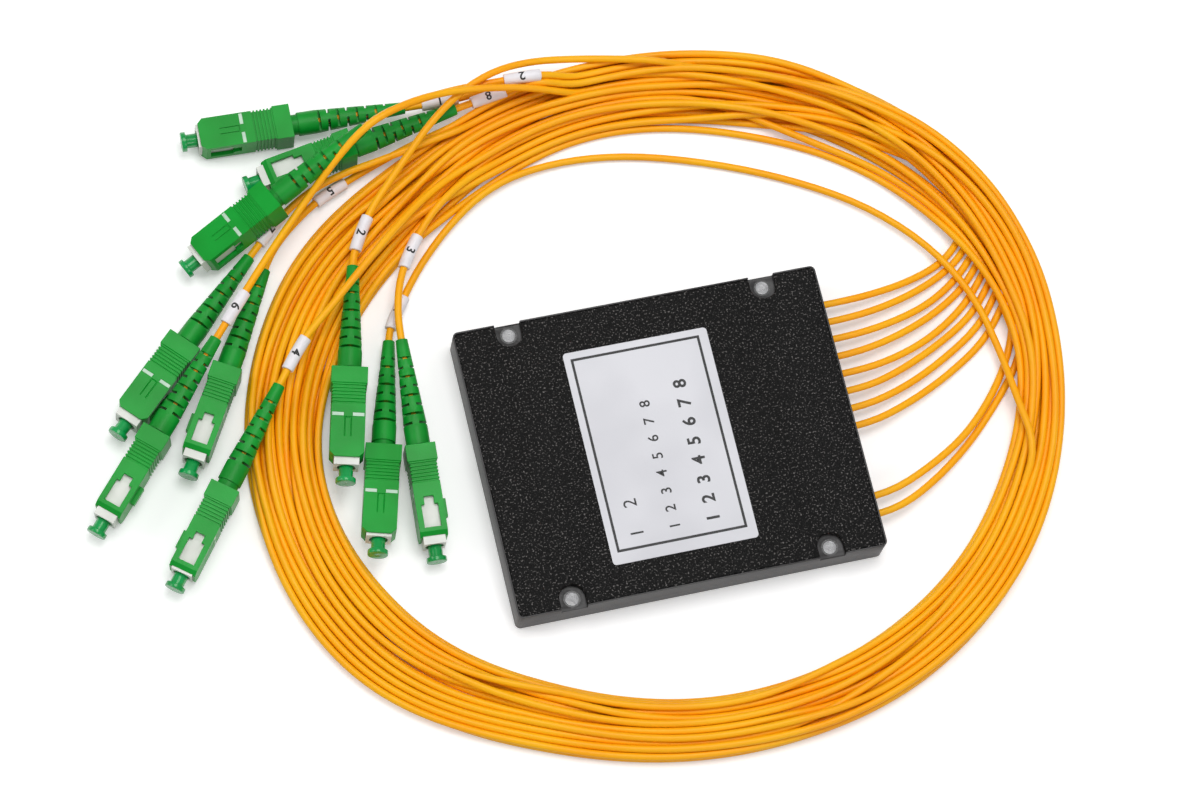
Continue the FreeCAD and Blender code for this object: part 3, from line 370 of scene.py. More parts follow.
# exit: the cord's place in the row of exits; lead: from the case to the ring; tail: from the ring to the
# boot; straight: how far before the boot it already runs in line with it; marker: the run that carries its
# marker, 0 at the boot and counted towards the ring
Cord = namedtuple("Cord", "exit lead tail straight marker")
CORDS = {
    "in_1": Cord(
        8,
        [(0.055, -0.025, 0.005), (0.068, -0.0198, 0.0042), (0.0805, -0.0126, 0.003), (0.091, -0.0024, 0.002),
         (0.0983, 0.008, 0.0011), (0.1015, 0.016, 0.0011)],
        [(-0.012, 0.1074, 0.0018), (-0.022, 0.108, 0.0024)], 0.014, 0),
    "in_2": Cord(
        9,
        [(0.055, -0.03, 0.005), (0.067, -0.0246, 0.0036), (0.0806, -0.0152, 0.0014), (0.092, -0.0042, 0.0011),
         (0.0996, 0.0044, 0.0011), (0.104, 0.0135, 0.0011)],
        [(-0.001, 0.1064, 0.0038), (-0.0095, 0.1072, 0.007), (-0.0208, 0.1078, 0.009),
         (-0.034, 0.1078, 0.0106), (-0.0455, 0.105, 0.0146)], 0.006, 4),
    "out_1": Cord(
        0,
        [(0.055, 0.03, 0.005), (0.065, 0.0308, 0.004), (0.076, 0.0329, 0.002), (0.0858, 0.0362, 0.0011),
         (0.0916, 0.0405, 0.0011), (0.0954, 0.0455, 0.0011)],
        [(0.0965, -0.021, 0.0022), (0.0956, -0.006, 0.0036), (0.0954, 0.008, 0.0036), (0.0927, 0.025, 0.0034),
         (0.0847, 0.041, 0.0032), (0.0717, 0.0556, 0.002), (0.0554, 0.0666, 0.0011), (0.036, 0.0756, 0.0011),
         (0.014, 0.0828, 0.0011), (-0.004, 0.0854, 0.0011), (-0.02, 0.0842, 0.0014), (-0.032, 0.08, 0.0016),
         (-0.043, 0.0726, 0.0018), (-0.0526, 0.0634, 0.0022), (-0.0592, 0.055, 0.0026)], 0.004, 1),
    "out_2": Cord(
        1,
        [(0.055, 0.025, 0.005), (0.066, 0.0264, 0.004), (0.078, 0.0298, 0.002), (0.0876, 0.0342, 0.0011),
         (0.0932, 0.0384, 0.0011), (0.0974, 0.0436, 0.0011)],
        [(0.022, 0.1056, 0.0032), (0.01, 0.1096, 0.0046), (-0.002, 0.1118, 0.0068), (-0.0125, 0.1122, 0.01),
         (-0.023, 0.1102, 0.0128), (-0.0335, 0.1056, 0.0132), (-0.043, 0.0989, 0.0118),
         (-0.0505, 0.0918, 0.01), (-0.0578, 0.0846, 0.0094), (-0.0643, 0.0778, 0.009)], 0.004, 1),
    "out_3": Cord(
        2,
        [(0.055, 0.02, 0.005), (0.067, 0.0216, 0.004), (0.0795, 0.0253, 0.002), (0.089, 0.031, 0.0011),
         (0.095, 0.0366, 0.0011), (0.0989, 0.0416, 0.0011)],
        [(-0.027, 0.0874, 0.0026), (-0.035, 0.084, 0.0046), (-0.0436, 0.0786, 0.0062),
         (-0.0514, 0.0714, 0.0066), (-0.0592, 0.0604, 0.0068)], 0.008, 2),
    "out_4": Cord(
        3,
        [(0.055, 0.015, 0.005), (0.067, 0.0173, 0.004), (0.0795, 0.0219, 0.002), (0.09, 0.028, 0.0011),
         (0.0964, 0.0344, 0.0011), (0.1004, 0.0396, 0.0011)],
        [(-0.03, 0.0892, 0.0028), (-0.039, 0.0856, 0.0054), (-0.049, 0.0794, 0.0084),
         (-0.0595, 0.0706, 0.0114), (-0.071, 0.0606, 0.0126), (-0.0805, 0.0524, 0.0118)], 0.014, 0),
    "out_5": Cord(
        4,
        [(0.055, 0.01, 0.005), (0.066, 0.0117, 0.004), (0.078, 0.016, 0.002), (0.0895, 0.0232, 0.0011),
         (0.097, 0.0312, 0.0011), (0.1016, 0.0372, 0.0011)],
        [(-0.037, 0.099, 0.0018), (-0.047, 0.0974, 0.0018), (-0.0575, 0.094, 0.0022),
         (-0.0674, 0.0902, 0.0024), (-0.077, 0.0858, 0.0028), (-0.086, 0.079, 0.0038)], 0.005, 3),
    "out_6": Cord(
        5,
        [(0.055, 0.005, 0.005), (0.065, 0.0074, 0.004), (0.078, 0.013, 0.002), (0.0905, 0.02, 0.0011),
         (0.098, 0.0282, 0.0011), (0.1026, 0.0346, 0.0011)],
        [(-0.004, 0.1024, 0.0036), (-0.013, 0.1039, 0.0076), (-0.024, 0.1052, 0.01), (-0.037, 0.1056, 0.0104),
         (-0.049, 0.103, 0.012), (-0.0605, 0.0986, 0.0128), (-0.0702, 0.0922, 0.011), (-0.0814, 0.083, 0.009),
         (-0.0918, 0.0722, 0.0098)], 0.014, 0),
    "out_7": Cord(
        6,
        [(0.055, 0.0, 0.005), (0.068, 0.0037, 0.0035), (0.0805, 0.0098, 0.0015), (0.092, 0.0168, 0.0011),
         (0.0994, 0.0254, 0.0011), (0.1036, 0.0318, 0.0011)],
        [(-0.036, 0.0974, 0.0034), (-0.046, 0.096, 0.0046), (-0.057, 0.0934, 0.0056),
         (-0.067, 0.0916, 0.0062), (-0.0775, 0.0886, 0.0054)], 0.014, 0),
    "out_8": Cord(
        7,
        [(0.055, -0.005, 0.005), (0.0675, -0.001, 0.0035), (0.08, 0.0049, 0.0015), (0.0925, 0.0125, 0.0011),
         (0.1006, 0.022, 0.0011), (0.1048, 0.0288, 0.0011)],
        [(-0.002, 0.1042, 0.0026), (-0.011, 0.1056, 0.0044)], 0.014, 0),
}

# distances from the ring's centre to its edges, every 30 degrees from +X, as in part.py
RING_CENTRE = np.array([0.0, 0.012])
RING_OUTSIDE = [0.112, 0.1142, 0.1058, 0.0985, 0.097, 0.1058, 0.1104, 0.1104, 0.0993, 0.0972, 0.102, 0.108]
RING_INSIDE = [0.0993, 0.092, 0.0814, 0.0776, 0.0752, 0.0816, 0.0902, 0.0874, 0.0808, 0.0807, 0.085, 0.0926]
FULL_TURN = 360.0


def ring_edge(distances, angle):
    """How far out a smooth closed line through these distances is at an angle."""
    place = np.asarray(angle) / FULL_TURN * len(distances)
    at = np.floor(place).astype(int)
    t = place - at
    before, this, after, next_after = (np.array(distances)[(at + i) % len(distances)] for i in (-1, 0, 1, 2))
    bow = 2 * before - 5 * this + 4 * after - next_after + t * (3 * (this - after) + next_after - before)
    return this + t / 2 * (after - before + t * bow)


def ring_edges(angle):
    """How far from the centre the innermost and outermost cords' centre lines are."""
    inside = ring_edge(RING_INSIDE, angle) + CORD_DIAMETER / 2
    return inside, ring_edge(RING_OUTSIDE, angle) - CORD_DIAMETER / 2


def lane_at(point):
    """A point's angle round the ring, and where it lies across it."""
    across = np.array(point[:2]) - RING_CENTRE
    angle = math.degrees(math.atan2(across[1], across[0]))
    inside, outside = ring_edges(angle)
    return angle, (np.hypot(*across) - inside) / (outside - inside)


def eased(share):
    share = min(1.0, max(0.0, share))
    return share * share * (3 - 2 * share)


def placed(pose, distance):
    """The point on a connector's axis at this distance from the boot's thin end."""
    heading, dip = math.radians(pose.heading), math.radians(pose.dip)
    along = np.array([math.cos(dip) * math.cos(heading), math.cos(dip) * math.sin(heading), -math.sin(dip)])
    return np.array(pose.tip) + along * distance


# ------------------------------------------------------------------ the coil: turns settled on each other

# the coil is worked out in sections, this many degrees apart
SECTION = 5.0
SECTIONS = 72
TURNS = 2
TURNS_KEPT = 4
SEED = 12
# the settling: steps, the share of them that sink fast, how far a strand sinks in a fast and in a slow one,
# pushes in each, and how far apart two strands' lines are pushed
SETTLING = 700
FAST_SHARE = 0.75
SINK_FAST = 0.00025
SINK_SLOW = 0.00008
PUSHES = 7
REACH = CORD_DIAMETER * 1.01
# how stiff a strand is sideways and upwards, and how much it is drawn back to its lane
STIFF_ASIDE = 0.5
STIFF_UP = 0.3
DRAWN_BACK = 0.01
HALF_SHARE = 0.6
END_SHARES = (0.1, 0.3, 0.6)
# how much the order of the strands changes from station to station
DRIFT = 1.1
# degrees over which a cord swings back from its lead's slant, comes into its lane and leaves it again
SWING = 8.0
INTO_LANE = 60.0
OUT_OF_LANE = 110.0
# angles at which each cord has a lane of its own across the ring; between them it moves over smoothly
STATIONS = [40.0, 75.0, 105.0, 140.0, 200.0, 270.0, 300.0, 335.0]
INNER_PAIR_STATIONS = (40.0, 75.0, 105.0)
# there the main strands start this far across the ring, and two of the second turn lie by themselves inside
MAIN_START = 0.26
PAIR_START = 0.04
PAIR_GAP = 0.09


def station_lanes():
    """Every cord's lane at each station of each turn, in an order that drifts from station to station."""
    rng = np.random.default_rng(SEED)
    count = len(CORDS)
    order = np.array([lane_at(cord.lead[-1])[1] for cord in CORDS.values()]).argsort().argsort()
    rows = []
    for turn in range(TURNS + 1):
        for station in STATIONS:
            order = (order + rng.normal(0, DRIFT, count)).argsort().argsort()
            lanes = (order + 0.5 + 0.5 * (turn % 2 - 0.5)) / count
            if station in INNER_PAIR_STATIONS:
                lanes = MAIN_START + lanes * (1 - MAIN_START)
                if turn == 1:
                    lanes = np.where(order < 2, PAIR_START + PAIR_GAP * order, lanes)
            rows.append((turn * FULL_TURN + station, lanes))
    return rows


def wanted_lane(c, angle, rows, first, last):
    """The lane of cord c at an angle; first and last are its (angle, lane) at its lead and at its tail."""
    angles = [row[0] for row in rows]
    after = min(max(int(np.searchsorted(angles, angle)), 1), len(rows) - 1)
    share = eased((angle - angles[after - 1]) / (angles[after] - angles[after - 1]))
    lane = rows[after - 1][1][c] * (1 - share) + rows[after][1][c] * share
    lane = first[1] + (lane - first[1]) * eased((angle - first[0]) / INTO_LANE)
    return lane + (last[1] - lane) * eased((angle - last[0] + OUT_OF_LANE) / OUT_OF_LANE)


def distance_out(point):
    return np.hypot(*(np.array(point[:2]) - RING_CENTRE))


def swing_out(cord, angle):
    """How far outside its lane a cord still runs at an angle, because its lead comes in at a slant."""
    start, end = np.array(cord.lead[-2][:2]), np.array(cord.lead[-1][:2])
    along = (end - start) / np.linalg.norm(end - start)
    out = (end - RING_CENTRE) / distance_out(end)
    slant = (along @ out) / (out[0] * along[1] - out[1] * along[0])
    share = max(0.0, angle - lane_at(end)[0]) / SWING
    return slant * distance_out(end) * math.radians(SWING) * share * math.exp(-share)


def loose_strands():
    """Each cord's wanted distance from the ring's centre and first height in every section of its turns."""
    rows = station_lanes()
    total = SECTIONS * TURNS_KEPT
    want = np.zeros((len(CORDS), total))
    height = np.full(want.shape, CORD_DIAMETER / 2)
    live = np.zeros(want.shape, bool)
    spans = []
    for c, cord in enumerate(CORDS.values()):
        first = lane_at(cord.lead[-1])
        last = lane_at(cord.tail[0])
        last = (last[0] + TURNS * FULL_TURN, last[1])
        span = (math.ceil(first[0] / SECTION + 0.5), math.floor(last[0] / SECTION - 0.5))
        spans.append(span)
        for k in range(span[0] - 1, span[1] + 2):
            angle = k * SECTION
            inside, outside = ring_edges(angle)
            want[c, k] = inside + wanted_lane(c, angle, rows, first, last) * (outside - inside)
            want[c, k] = min(want[c, k] + swing_out(cord, angle), outside)
            level = math.floor(max(0, angle - 15) / FULL_TURN) * len(CORDS) + c
            height[c, k] = CORD_DIAMETER * (0.5 + 1.02 * level)
        live[c, span[0]:span[1] + 1] = True
        want[c, span[0] - 1] = distance_out(cord.lead[-1])
        want[c, span[1] + 1] = distance_out(cord.tail[0])
    for _ in range(40):
        middle = (height[:, :-2] + height[:, 2:]) / 2
        height[:, 1:-1] = np.where(live[:, 1:-1], middle, height[:, 1:-1])
    for c, span in enumerate(spans):
        height[c, span[0] - 1] = list(CORDS.values())[c].lead[-1][2]
    return want, height, live, spans


def lead_spots():
    """Where the leads pass under the ring, by section: distances from the centre and heights."""
    rows = [[] for _ in range(SECTIONS)]
    for cord in CORDS.values():
        route = np.array(lead_route(cord))
        for point in line_weights(len(route)) @ route:
            angle, _ = lane_at(point)
            if distance_out(point) > ring_edges(angle)[0] - 2 * CORD_DIAMETER:
                rows[round(angle / SECTION) % SECTIONS].append((distance_out(point), point[2]))
    spots = np.full((SECTIONS, max(map(len, rows)), 2), -1.0)
    for s, row in enumerate(rows):
        spots[s, :len(row)] = np.array(row).reshape(-1, 2)
    return spots


def with_halves(values):
    """Every section's value and, after it, the one halfway to the next section."""
    both = np.empty((values.shape[0], 2 * values.shape[1]))
    both[:, ::2] = values
    both[:, 1::2] = (values + np.roll(values, -1, 1)) / 2
    return both


def by_section(values):
    """From one row a cord to one row a section or halfway place, with every strand that crosses it."""
    parts = values.reshape(len(CORDS), TURNS_KEPT, 2 * SECTIONS)
    return parts.transpose(2, 0, 1).reshape(2 * SECTIONS, len(CORDS) * TURNS_KEPT)


def by_cord(values):
    """Back again, with half of a halfway place's move given to each of the sections beside it."""
    parts = values.reshape(2 * SECTIONS, len(CORDS), TURNS_KEPT)
    both = parts.transpose(1, 2, 0).reshape(len(CORDS), 2 * SECTIONS * TURNS_KEPT)
    halves = both[:, 1::2]
    return both[:, ::2] + HALF_SHARE * (halves + np.roll(halves, 1, 1))


def near_ends(live, spans):
    """How freely each section may move sideways: hardly at a cord's fixed ends, fully a few sections on."""
    free = live.astype(float)
    for c, span in enumerate(spans):
        for i, share in enumerate(END_SHARES):
            free[c, span[0] + i] = share
            free[c, span[1] - i] = share
    return free


def settled_coil():
    """Lets the strands fall on each other, side by side and across, until they lie."""
    want, height, live, spans = loose_strands()
    out = want.copy()
    spots = np.repeat(lead_spots(), 2, axis=0)
    free = near_ends(live, spans)
    falling = live | np.roll(live, 1, 1)
    there = falling | np.roll(live, -1, 1)
    on = by_section(with_halves(there.astype(float))) > 0.9
    rank = np.argsort(~on, axis=1, kind="stable")[:, :on.sum(axis=1).max()]
    on = np.take_along_axis(on, rank, 1)
    pairs = on[:, :, None] & on[:, None, :] & ~np.eye(on.shape[1], dtype=bool)[None]
    spot_pairs = on[:, :, None] & (spots[:, None, :, 0] > 0)
    held = 1 - np.take_along_axis(by_section(with_halves(free)), rank, 1)
    held = held[:, :, None] * held[:, None, :]
    edges = [np.tile(edge, TURNS_KEPT) for edge in ring_edges(np.arange(SECTIONS) * SECTION)]
    # no two strands stop at exactly the same distance out, or nothing would push them apart
    hair = 1e-6 * np.arange(out.size // SECTIONS).reshape(len(CORDS), TURNS_KEPT).repeat(SECTIONS, 1)
    blank = np.zeros((2 * SECTIONS, len(CORDS) * TURNS_KEPT))

    def pushes(r, h, other_r, other_h, allowed):
        side = r[:, :, None] - other_r[:, None, :]
        rise = h[:, :, None] - other_h[:, None, :]
        distance = np.sqrt(side * side + rise * rise) + 1e-9
        share = np.where(allowed & (distance < REACH), REACH / distance - 1, 0)
        return side, rise, share

    def moved(values):
        whole = blank.copy()
        np.put_along_axis(whole, rank, values, 1)
        return by_cord(whole)

    for step in range(SETTLING):
        sink = SINK_FAST if step < SETTLING * FAST_SHARE else SINK_SLOW
        height = np.where(falling, height - sink, height)
        for c, span in enumerate(spans):
            height[c, span[1] + 2] = height[c, span[1] + 1]
        for _ in range(2):
            off = out - want
            mean = (np.roll(off, 1, 1) + np.roll(off, -1, 1)) / 2
            out = np.where(live, out + STIFF_ASIDE * (mean - off) - DRAWN_BACK * off, out)
            mean = (np.roll(height, 1, 1) + np.roll(height, -1, 1)) / 2
            height = np.where(falling, height + STIFF_UP * (mean - height), height)
        for _ in range(PUSHES):
            r = np.take_along_axis(by_section(with_halves(out)), rank, 1)
            h = np.take_along_axis(by_section(with_halves(height)), rank, 1)
            side, rise, share = pushes(r, h, r, h, pairs)
            limit = np.minimum(1, 1.6 / np.maximum(1, (share > 0).sum(axis=2))) / 2
            lead_side, lead_rise, lead_share = pushes(r, h, spots[:, :, 0], spots[:, :, 1], spot_pairs)
            most = lead_share.argmax(axis=2)[:, :, None]
            strongest = np.take_along_axis(lead_share, most, 2)[:, :, 0]
            aside = 0.3 * strongest * np.take_along_axis(lead_side, most, 2)[:, :, 0]
            above = strongest * np.abs(np.take_along_axis(lead_rise, most, 2)[:, :, 0])
            out = out + free * moved((share * side).sum(axis=2) * limit + aside)
            rise = rise + held * np.abs(side) * np.where(rise < 0, -1, 1)
            height = height + falling * moved((share * rise).sum(axis=2) * limit + above)
            height = np.where(falling, np.maximum(height, CORD_DIAMETER / 2), height)
            out = np.where(live, np.clip(out, edges[0] + hair, edges[1] - hair), out)
    return out, height, spans


# ------------------------------------------------------------------ tails, laid on the coil and on each other

CELL = 0.0004
HEAP_CORNER = np.array([-0.160, -0.100])
HEAP_SIZE = (700, 550)
PER_RUN = 16
ROUNDS = 60
RISE_RATE = 0.6
# the last of these lies on top
TAIL_ORDER = ["out_1", "out_3", "out_5", "in_1", "out_8", "out_7", "out_4", "in_2", "out_2", "out_6"]


def stencil():
    reach = int(CORD_DIAMETER / 2 / CELL) + 1
    steps = np.arange(-reach, reach + 1)
    return np.array([(i, j) for i in steps for j in steps])


STENCIL = stencil()


def cells_under(points):
    """The heap's cells under a cord at these points, and how far its surface is from its line there."""
    places = (points[:, :2] - HEAP_CORNER) / CELL
    cells = np.round(places).astype(int)[:, None, :] + STENCIL[None, :, :]
    away = np.linalg.norm((cells - places[:, None, :]) * CELL, axis=2)
    rise = np.sqrt(np.maximum((CORD_DIAMETER / 2) ** 2 - away ** 2, 0))
    return cells, rise, away < CORD_DIAMETER / 2


def needed_height(heap, points):
    """How high a cord's line has to be at these points to lie on what is there."""
    cells, rise, under = cells_under(points)
    return np.where(under, heap[cells[:, :, 0], cells[:, :, 1]] + rise, 0).max(axis=1)


def add_to_heap(heap, points):
    cells, rise, under = cells_under(points)
    np.maximum.at(heap, (cells[:, :, 0], cells[:, :, 1]), np.where(under, points[:, 2:3] + rise, 0))


def line_weights(count):
    """How much each route point pulls each point of the smooth line that goes by them."""
    rows = []
    for i in range(1, count - 1):
        for t in (np.arange(PER_RUN) + 0.5) / PER_RUN:
            row = np.zeros(count)
            ends = [([i - 1, i], 0.5 if i > 1 else (1, 0), (1 - t) ** 2),
                    ([i, i + 1], 0.5 if i < count - 2 else (0, 1), t ** 2)]
            for places, halves, share in ends:
                row[places] += np.array(halves) * share
            row[i] += 2 * t * (1 - t)
            rows.append(row)
    return np.array(rows)


def settle(route, weights, first, last, heap):
    """Raises a route's points from first to last until the cord lies on the heap there."""
    own = slice((first - 1) * PER_RUN + 4, (last - 1) * PER_RUN)
    near = weights[own]
    need = needed_height(heap, near @ route)
    runs = np.arange(own.start, own.stop) // PER_RUN + 1
    for _ in range(ROUNDS):
        short = need - near @ route[:, 2]
        for i in range(first, last):
            route[i, 2] += RISE_RATE * max(0, short[runs == i].max(initial=0))


def lead_route(cord):
    return [(EXIT_X, EXIT_Y[cord.exit], CORD_LEVEL)] + cord.lead


def tail_route(name):
    pose, cord = POSES[name], CORDS[name]
    return cord.tail + [tuple(placed(pose, distance)) for distance in (-cord.straight, IN_BOOT, CORD_END)]


def cord_routes():
    """Every cord's route: its lead, its settled turns and its tail."""
    out, height, spans = settled_coil()
    heap = np.zeros(HEAP_SIZE)
    routes, weights, joins = {}, {}, {}
    for c, (name, cord) in enumerate(CORDS.items()):
        kept = slice(spans[c][0], spans[c][1] + 1)
        angles = np.radians(np.arange(kept.start, kept.stop) * SECTION)
        turns = np.stack([RING_CENTRE[0] + out[c, kept] * np.cos(angles),
                          RING_CENTRE[1] + out[c, kept] * np.sin(angles), height[c, kept]], axis=1)
        routes[name] = np.vstack([lead_route(cord), turns, tail_route(name)])
        weights[name] = line_weights(len(routes[name]))
        joins[name] = len(cord.lead) + 1 + len(turns)
        routes[name][joins[name], 2] = max(routes[name][joins[name], 2], height[c, kept.stop])
        add_to_heap(heap, weights[name][:(joins[name] - 2) * PER_RUN] @ routes[name])
    for name in TAIL_ORDER:
        join = joins[name]
        settle(routes[name], weights[name], join, len(routes[name]) - 3, heap)
        add_to_heap(heap, weights[name][(join - 2) * PER_RUN:] @ routes[name])
    return routes, joins


def cord_curve(name, route):
    curve = bpy.data.curves.new(name, "CURVE")
    curve.dimensions = "3D"
    curve.bevel_depth = CORD_DIAMETER / 2
    curve.bevel_resolution = 3
    curve.use_fill_caps = True
    curve.resolution_u = 4
    spline = curve.splines.new("NURBS")
    spline.points.add(len(route) - 1)
    for point, place in zip(spline.points, route):
        point.co = (*place, 1.0)
    spline.order_u = 3
    spline.use_endpoint_u = True
    return add_object(name, curve)


def line_of(curve_object):
    """The points that a cord's smooth line goes through."""
    bare = curve_object.copy()
    bare.data = curve_object.data.copy()
    bare.data.bevel_depth = 0
    scene.collection.objects.link(bare)
    mesh = bpy.data.meshes.new_from_object(bare.evaluated_get(bpy.context.evaluated_depsgraph_get()))
    points = np.array([tuple(v.co) for v in mesh.vertices])
    bpy.data.meshes.remove(mesh)
    bpy.data.objects.remove(bare)
    return points


# ------------------------------------------------------------------ helpers for pieces

def finished(obj, slot, finish=None):
    """Gives a piece its material: the named finish, or else the finish of the slot's name."""
    obj.data.materials.clear()
    obj.data.materials.append(FINISHES[finish or slot])
    return obj


def rounded_edges(obj, width, smooth=True, angle=35.0):
    """Rounds a piece's edges; one with only flat faces needs no smooth shading."""
    for polygon in obj.data.polygons:
        polygon.use_smooth = smooth
    bevel = obj.modifiers.new("edges", "BEVEL")
    bevel.width = width
    bevel.segments = 2
    bevel.limit_method = "ANGLE"
    bevel.angle_limit = math.radians(angle)
    bevel.harden_normals = smooth


def rounded_copy(name, node, body, slot, width, smooth=True):
    """A copy of a CAD node's shape with its edges rounded."""
    mesh = nodes[node].data.copy()
    work = bmesh.new()
    work.from_mesh(mesh)
    bmesh.ops.remove_doubles(work, verts=work.verts, dist=1e-6)
    bmesh.ops.dissolve_limit(work, angle_limit=math.radians(1), verts=work.verts, edges=work.edges)
    work.to_mesh(mesh)
    work.free()
    obj = add_object(name, mesh)
    rounded_edges(obj, width, smooth)
    finished(obj, slot)
    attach(obj, body)
    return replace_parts(obj, node)


def mesh_piece(name, points, faces, body, slot, finish=None):
    mesh = bpy.data.meshes.new(name)
    mesh.from_pydata([tuple(point) for point in points], [], faces)
    mesh.validate()
    obj = add_object(name, mesh)
    finished(obj, slot, finish)
    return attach(obj, body)


def connector_matrix(pose, slide=0.0):
    turn = Matrix.Rotation(math.radians(pose.heading), 4, "Z")
    turn = turn @ Matrix.Rotation(math.radians(pose.dip), 4, "Y")
    turn = turn @ Matrix.Rotation(math.radians(pose.roll), 4, "X")
    return Matrix.Translation(pose.tip) @ turn @ Matrix.Translation((slide, 0, 0))


def lathe(profile, count):
    """Points and faces of a closed profile of (along X, distance out) turned about X."""
    points, faces = [], []
    for i in range(count):
        angle = 2 * math.pi * i / count
        points += [(x, r * math.cos(angle), r * math.sin(angle)) for x, r in profile]
    size = len(profile)
    for i in range(count):
        for j in range(size):
            here, there = i * size, (i + 1) % count * size
            after = (j + 1) % size
            faces.append((here + j, here + after, there + after, there + j))
    return points, faces


def rounded_profile(corners, radius):
    """The profile's corners, each cut back and eased with three points."""
    profile = []
    for i, corner in enumerate(corners):
        corner = Vector(corner)
        before = Vector(corners[i - 1]) - corner
        after = Vector(corners[(i + 1) % len(corners)]) - corner
        cut = min(radius, before.length / 2.2, after.length / 2.2)
        start = corner + before.normalized() * cut
        end = corner + after.normalized() * cut
        profile += [start, (start + end) * 0.25 + corner * 0.5, end]
    return profile


def strips(name, boxes, low, high, body, slot, finish=None):
    """Flat plates on one piece: each box is (x from, x to, y from, y to)."""
    points, faces = [], []
    for x0, x1, y0, y1 in boxes:
        base = len(points)
        for z in (low, high):
            points += [(x0, y0, z), (x1, y0, z), (x1, y1, z), (x0, y1, z)]
        for face in ((3, 2, 1, 0), (4, 5, 6, 7), (0, 1, 5, 4), (1, 2, 6, 5), (2, 3, 7, 6), (3, 0, 4, 7)):
            faces.append([base + corner for corner in face])
    return mesh_piece(name, points, faces, body, slot, finish)


def text_mesh(text, height, gap=1.0, weight=0.0):
    """Plain digits as a flat mesh, centred, with short edges so that it can be wrapped round a marker."""
    letters = bpy.data.curves.new("digits", "FONT")
    letters.body = text
    letters.align_x = "CENTER"
    letters.align_y = "CENTER"
    letters.size = height / 0.7
    letters.resolution_u = 3
    letters.space_word = gap
    letters.offset = weight
    holder = add_object("digits", letters)
    mesh = bpy.data.meshes.new_from_object(holder.evaluated_get(bpy.context.evaluated_depsgraph_get()))
    bpy.data.objects.remove(holder)
    work = bmesh.new()
    work.from_mesh(mesh)
    bmesh.ops.remove_doubles(work, verts=work.verts, dist=1e-7)
    long_edges = [edge for edge in work.edges if edge.calc_length() > height / 5]
    bmesh.ops.subdivide_edges(work, edges=long_edges, cuts=4)
    bmesh.ops.triangulate(work, faces=work.faces)
    work.to_mesh(mesh)
    work.free()
    return mesh


# ------------------------------------------------------------------ cords and what is on them

MARKER_LENGTH = 0.010
MARKER_RADIUS = 0.00165
MARKER_CENTRE = -0.0085
DIGIT_HEIGHT = 0.0024
DIGIT_WEIGHT = 0.00008
DIGIT_PROUD = 0.00003

routes, joins = cord_routes()
cords = {}
for name, route in routes.items():
    cords[name] = cord_curve("fibre_cord_" + name, route)
    finished(cords[name], "cord_jacket")
    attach(cords[name], "module")
    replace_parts(cords[name], "cord_" + name, "cord_coil")


class Line:
    """A cord's smooth line, by the distance along it."""

    def __init__(self, points):
        self.points = points
        self.run = np.concatenate([[0], np.cumsum(np.linalg.norm(np.diff(points, axis=0), axis=1))])

    def at(self, distance):
        return Vector([np.interp(distance, self.run, self.points[:, i]) for i in range(3)])

    def nearest(self, point):
        return self.run[np.linalg.norm(self.points - np.array(point), axis=1).argmin()]

    def frame(self, distance):
        """Where the line is, which way it goes, which way is left of it and which way is up."""
        step = 0.0015
        ahead = (self.at(distance + step) - self.at(distance - step)).normalized()
        left = Vector((0, 0, 1)).cross(ahead).normalized()
        return self.at(distance), ahead, left, ahead.cross(left)


def make_marker(name, line):
    """A marker sleeve that follows its cord, with its cord's number wrapped round it."""
    route, run = routes[name], CORDS[name].marker
    if run == 0:
        centre = placed(POSES[name], MARKER_CENTRE)
    else:
        centre = (route[-3 - run] + route[-2 - run]) / 2
    middle = line.nearest(centre)
    half = MARKER_LENGTH / 2
    bore = CORD_DIAMETER / 2 + 0.00002
    rim = 0.0002
    profile = [(-half, bore), (-half, MARKER_RADIUS - rim), (-half + rim / 3, MARKER_RADIUS - rim / 3)]
    profile += [(-half + rim + (2 * half - 2 * rim) * i / 10, MARKER_RADIUS) for i in range(11)]
    profile += [(half - rim / 3, MARKER_RADIUS - rim / 3), (half, MARKER_RADIUS - rim), (half, bore)]
    profile += [(half - 2 * half * i / 10, bore) for i in range(1, 10)]
    count = 32
    points, faces = lathe(profile, count)
    bent = []
    for x, across, up in points:
        place, _, left, above = line.frame(middle + x)
        bent.append(place + left * across + above * up)
    sleeve = mesh_piece("marker_" + name, bent, faces, "module", "marker_sleeve")
    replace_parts(sleeve, "cord_markers")
    for polygon in sleeve.data.polygons:
        polygon.use_smooth = True
    digits = text_mesh(name.split("_")[1], DIGIT_HEIGHT, weight=DIGIT_WEIGHT)
    for vertex in digits.vertices:
        place, _, left, above = line.frame(middle + vertex.co.x)
        angle = vertex.co.y / MARKER_RADIUS
        out = left * math.sin(angle) + above * math.cos(angle)
        vertex.co = place + out * (MARKER_RADIUS + DIGIT_PROUD)
    number = add_object("number_" + name, digits)
    finished(number, "marker_sleeve", "ink")
    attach(number, "module")
    return [sleeve, number]


# ------------------------------------------------------------------ connectors

SLEEVE_FRONT = 0.0563
SLEEVE_FACE = 0.0037
# the two pale stripes: where they lie along and across the sleeve, and how deep under its face
STRIPE_PLACE = SLEEVE_FRONT - 0.0117
STRIPE_WIDTH = 0.00096
STRIPE_LENGTH = 0.00306
STRIPE_STARTS = (0.00117, -0.00423)
STRIPE_BOTTOM = 0.00029
STRIPE_TOP = 0.00002
# the dust cap's outline: points of (distance along the connector from the boot's thin end, distance out from
# its axis)
CAP_PROFILE = [(0.0527, 0.00133), (0.0527, 0.00188), (0.0597, 0.00188), (0.0597, 0.00268), (0.0610, 0.00268),
               (0.0610, 0.00004), (0.0600, 0.00004), (0.0600, 0.00133)]


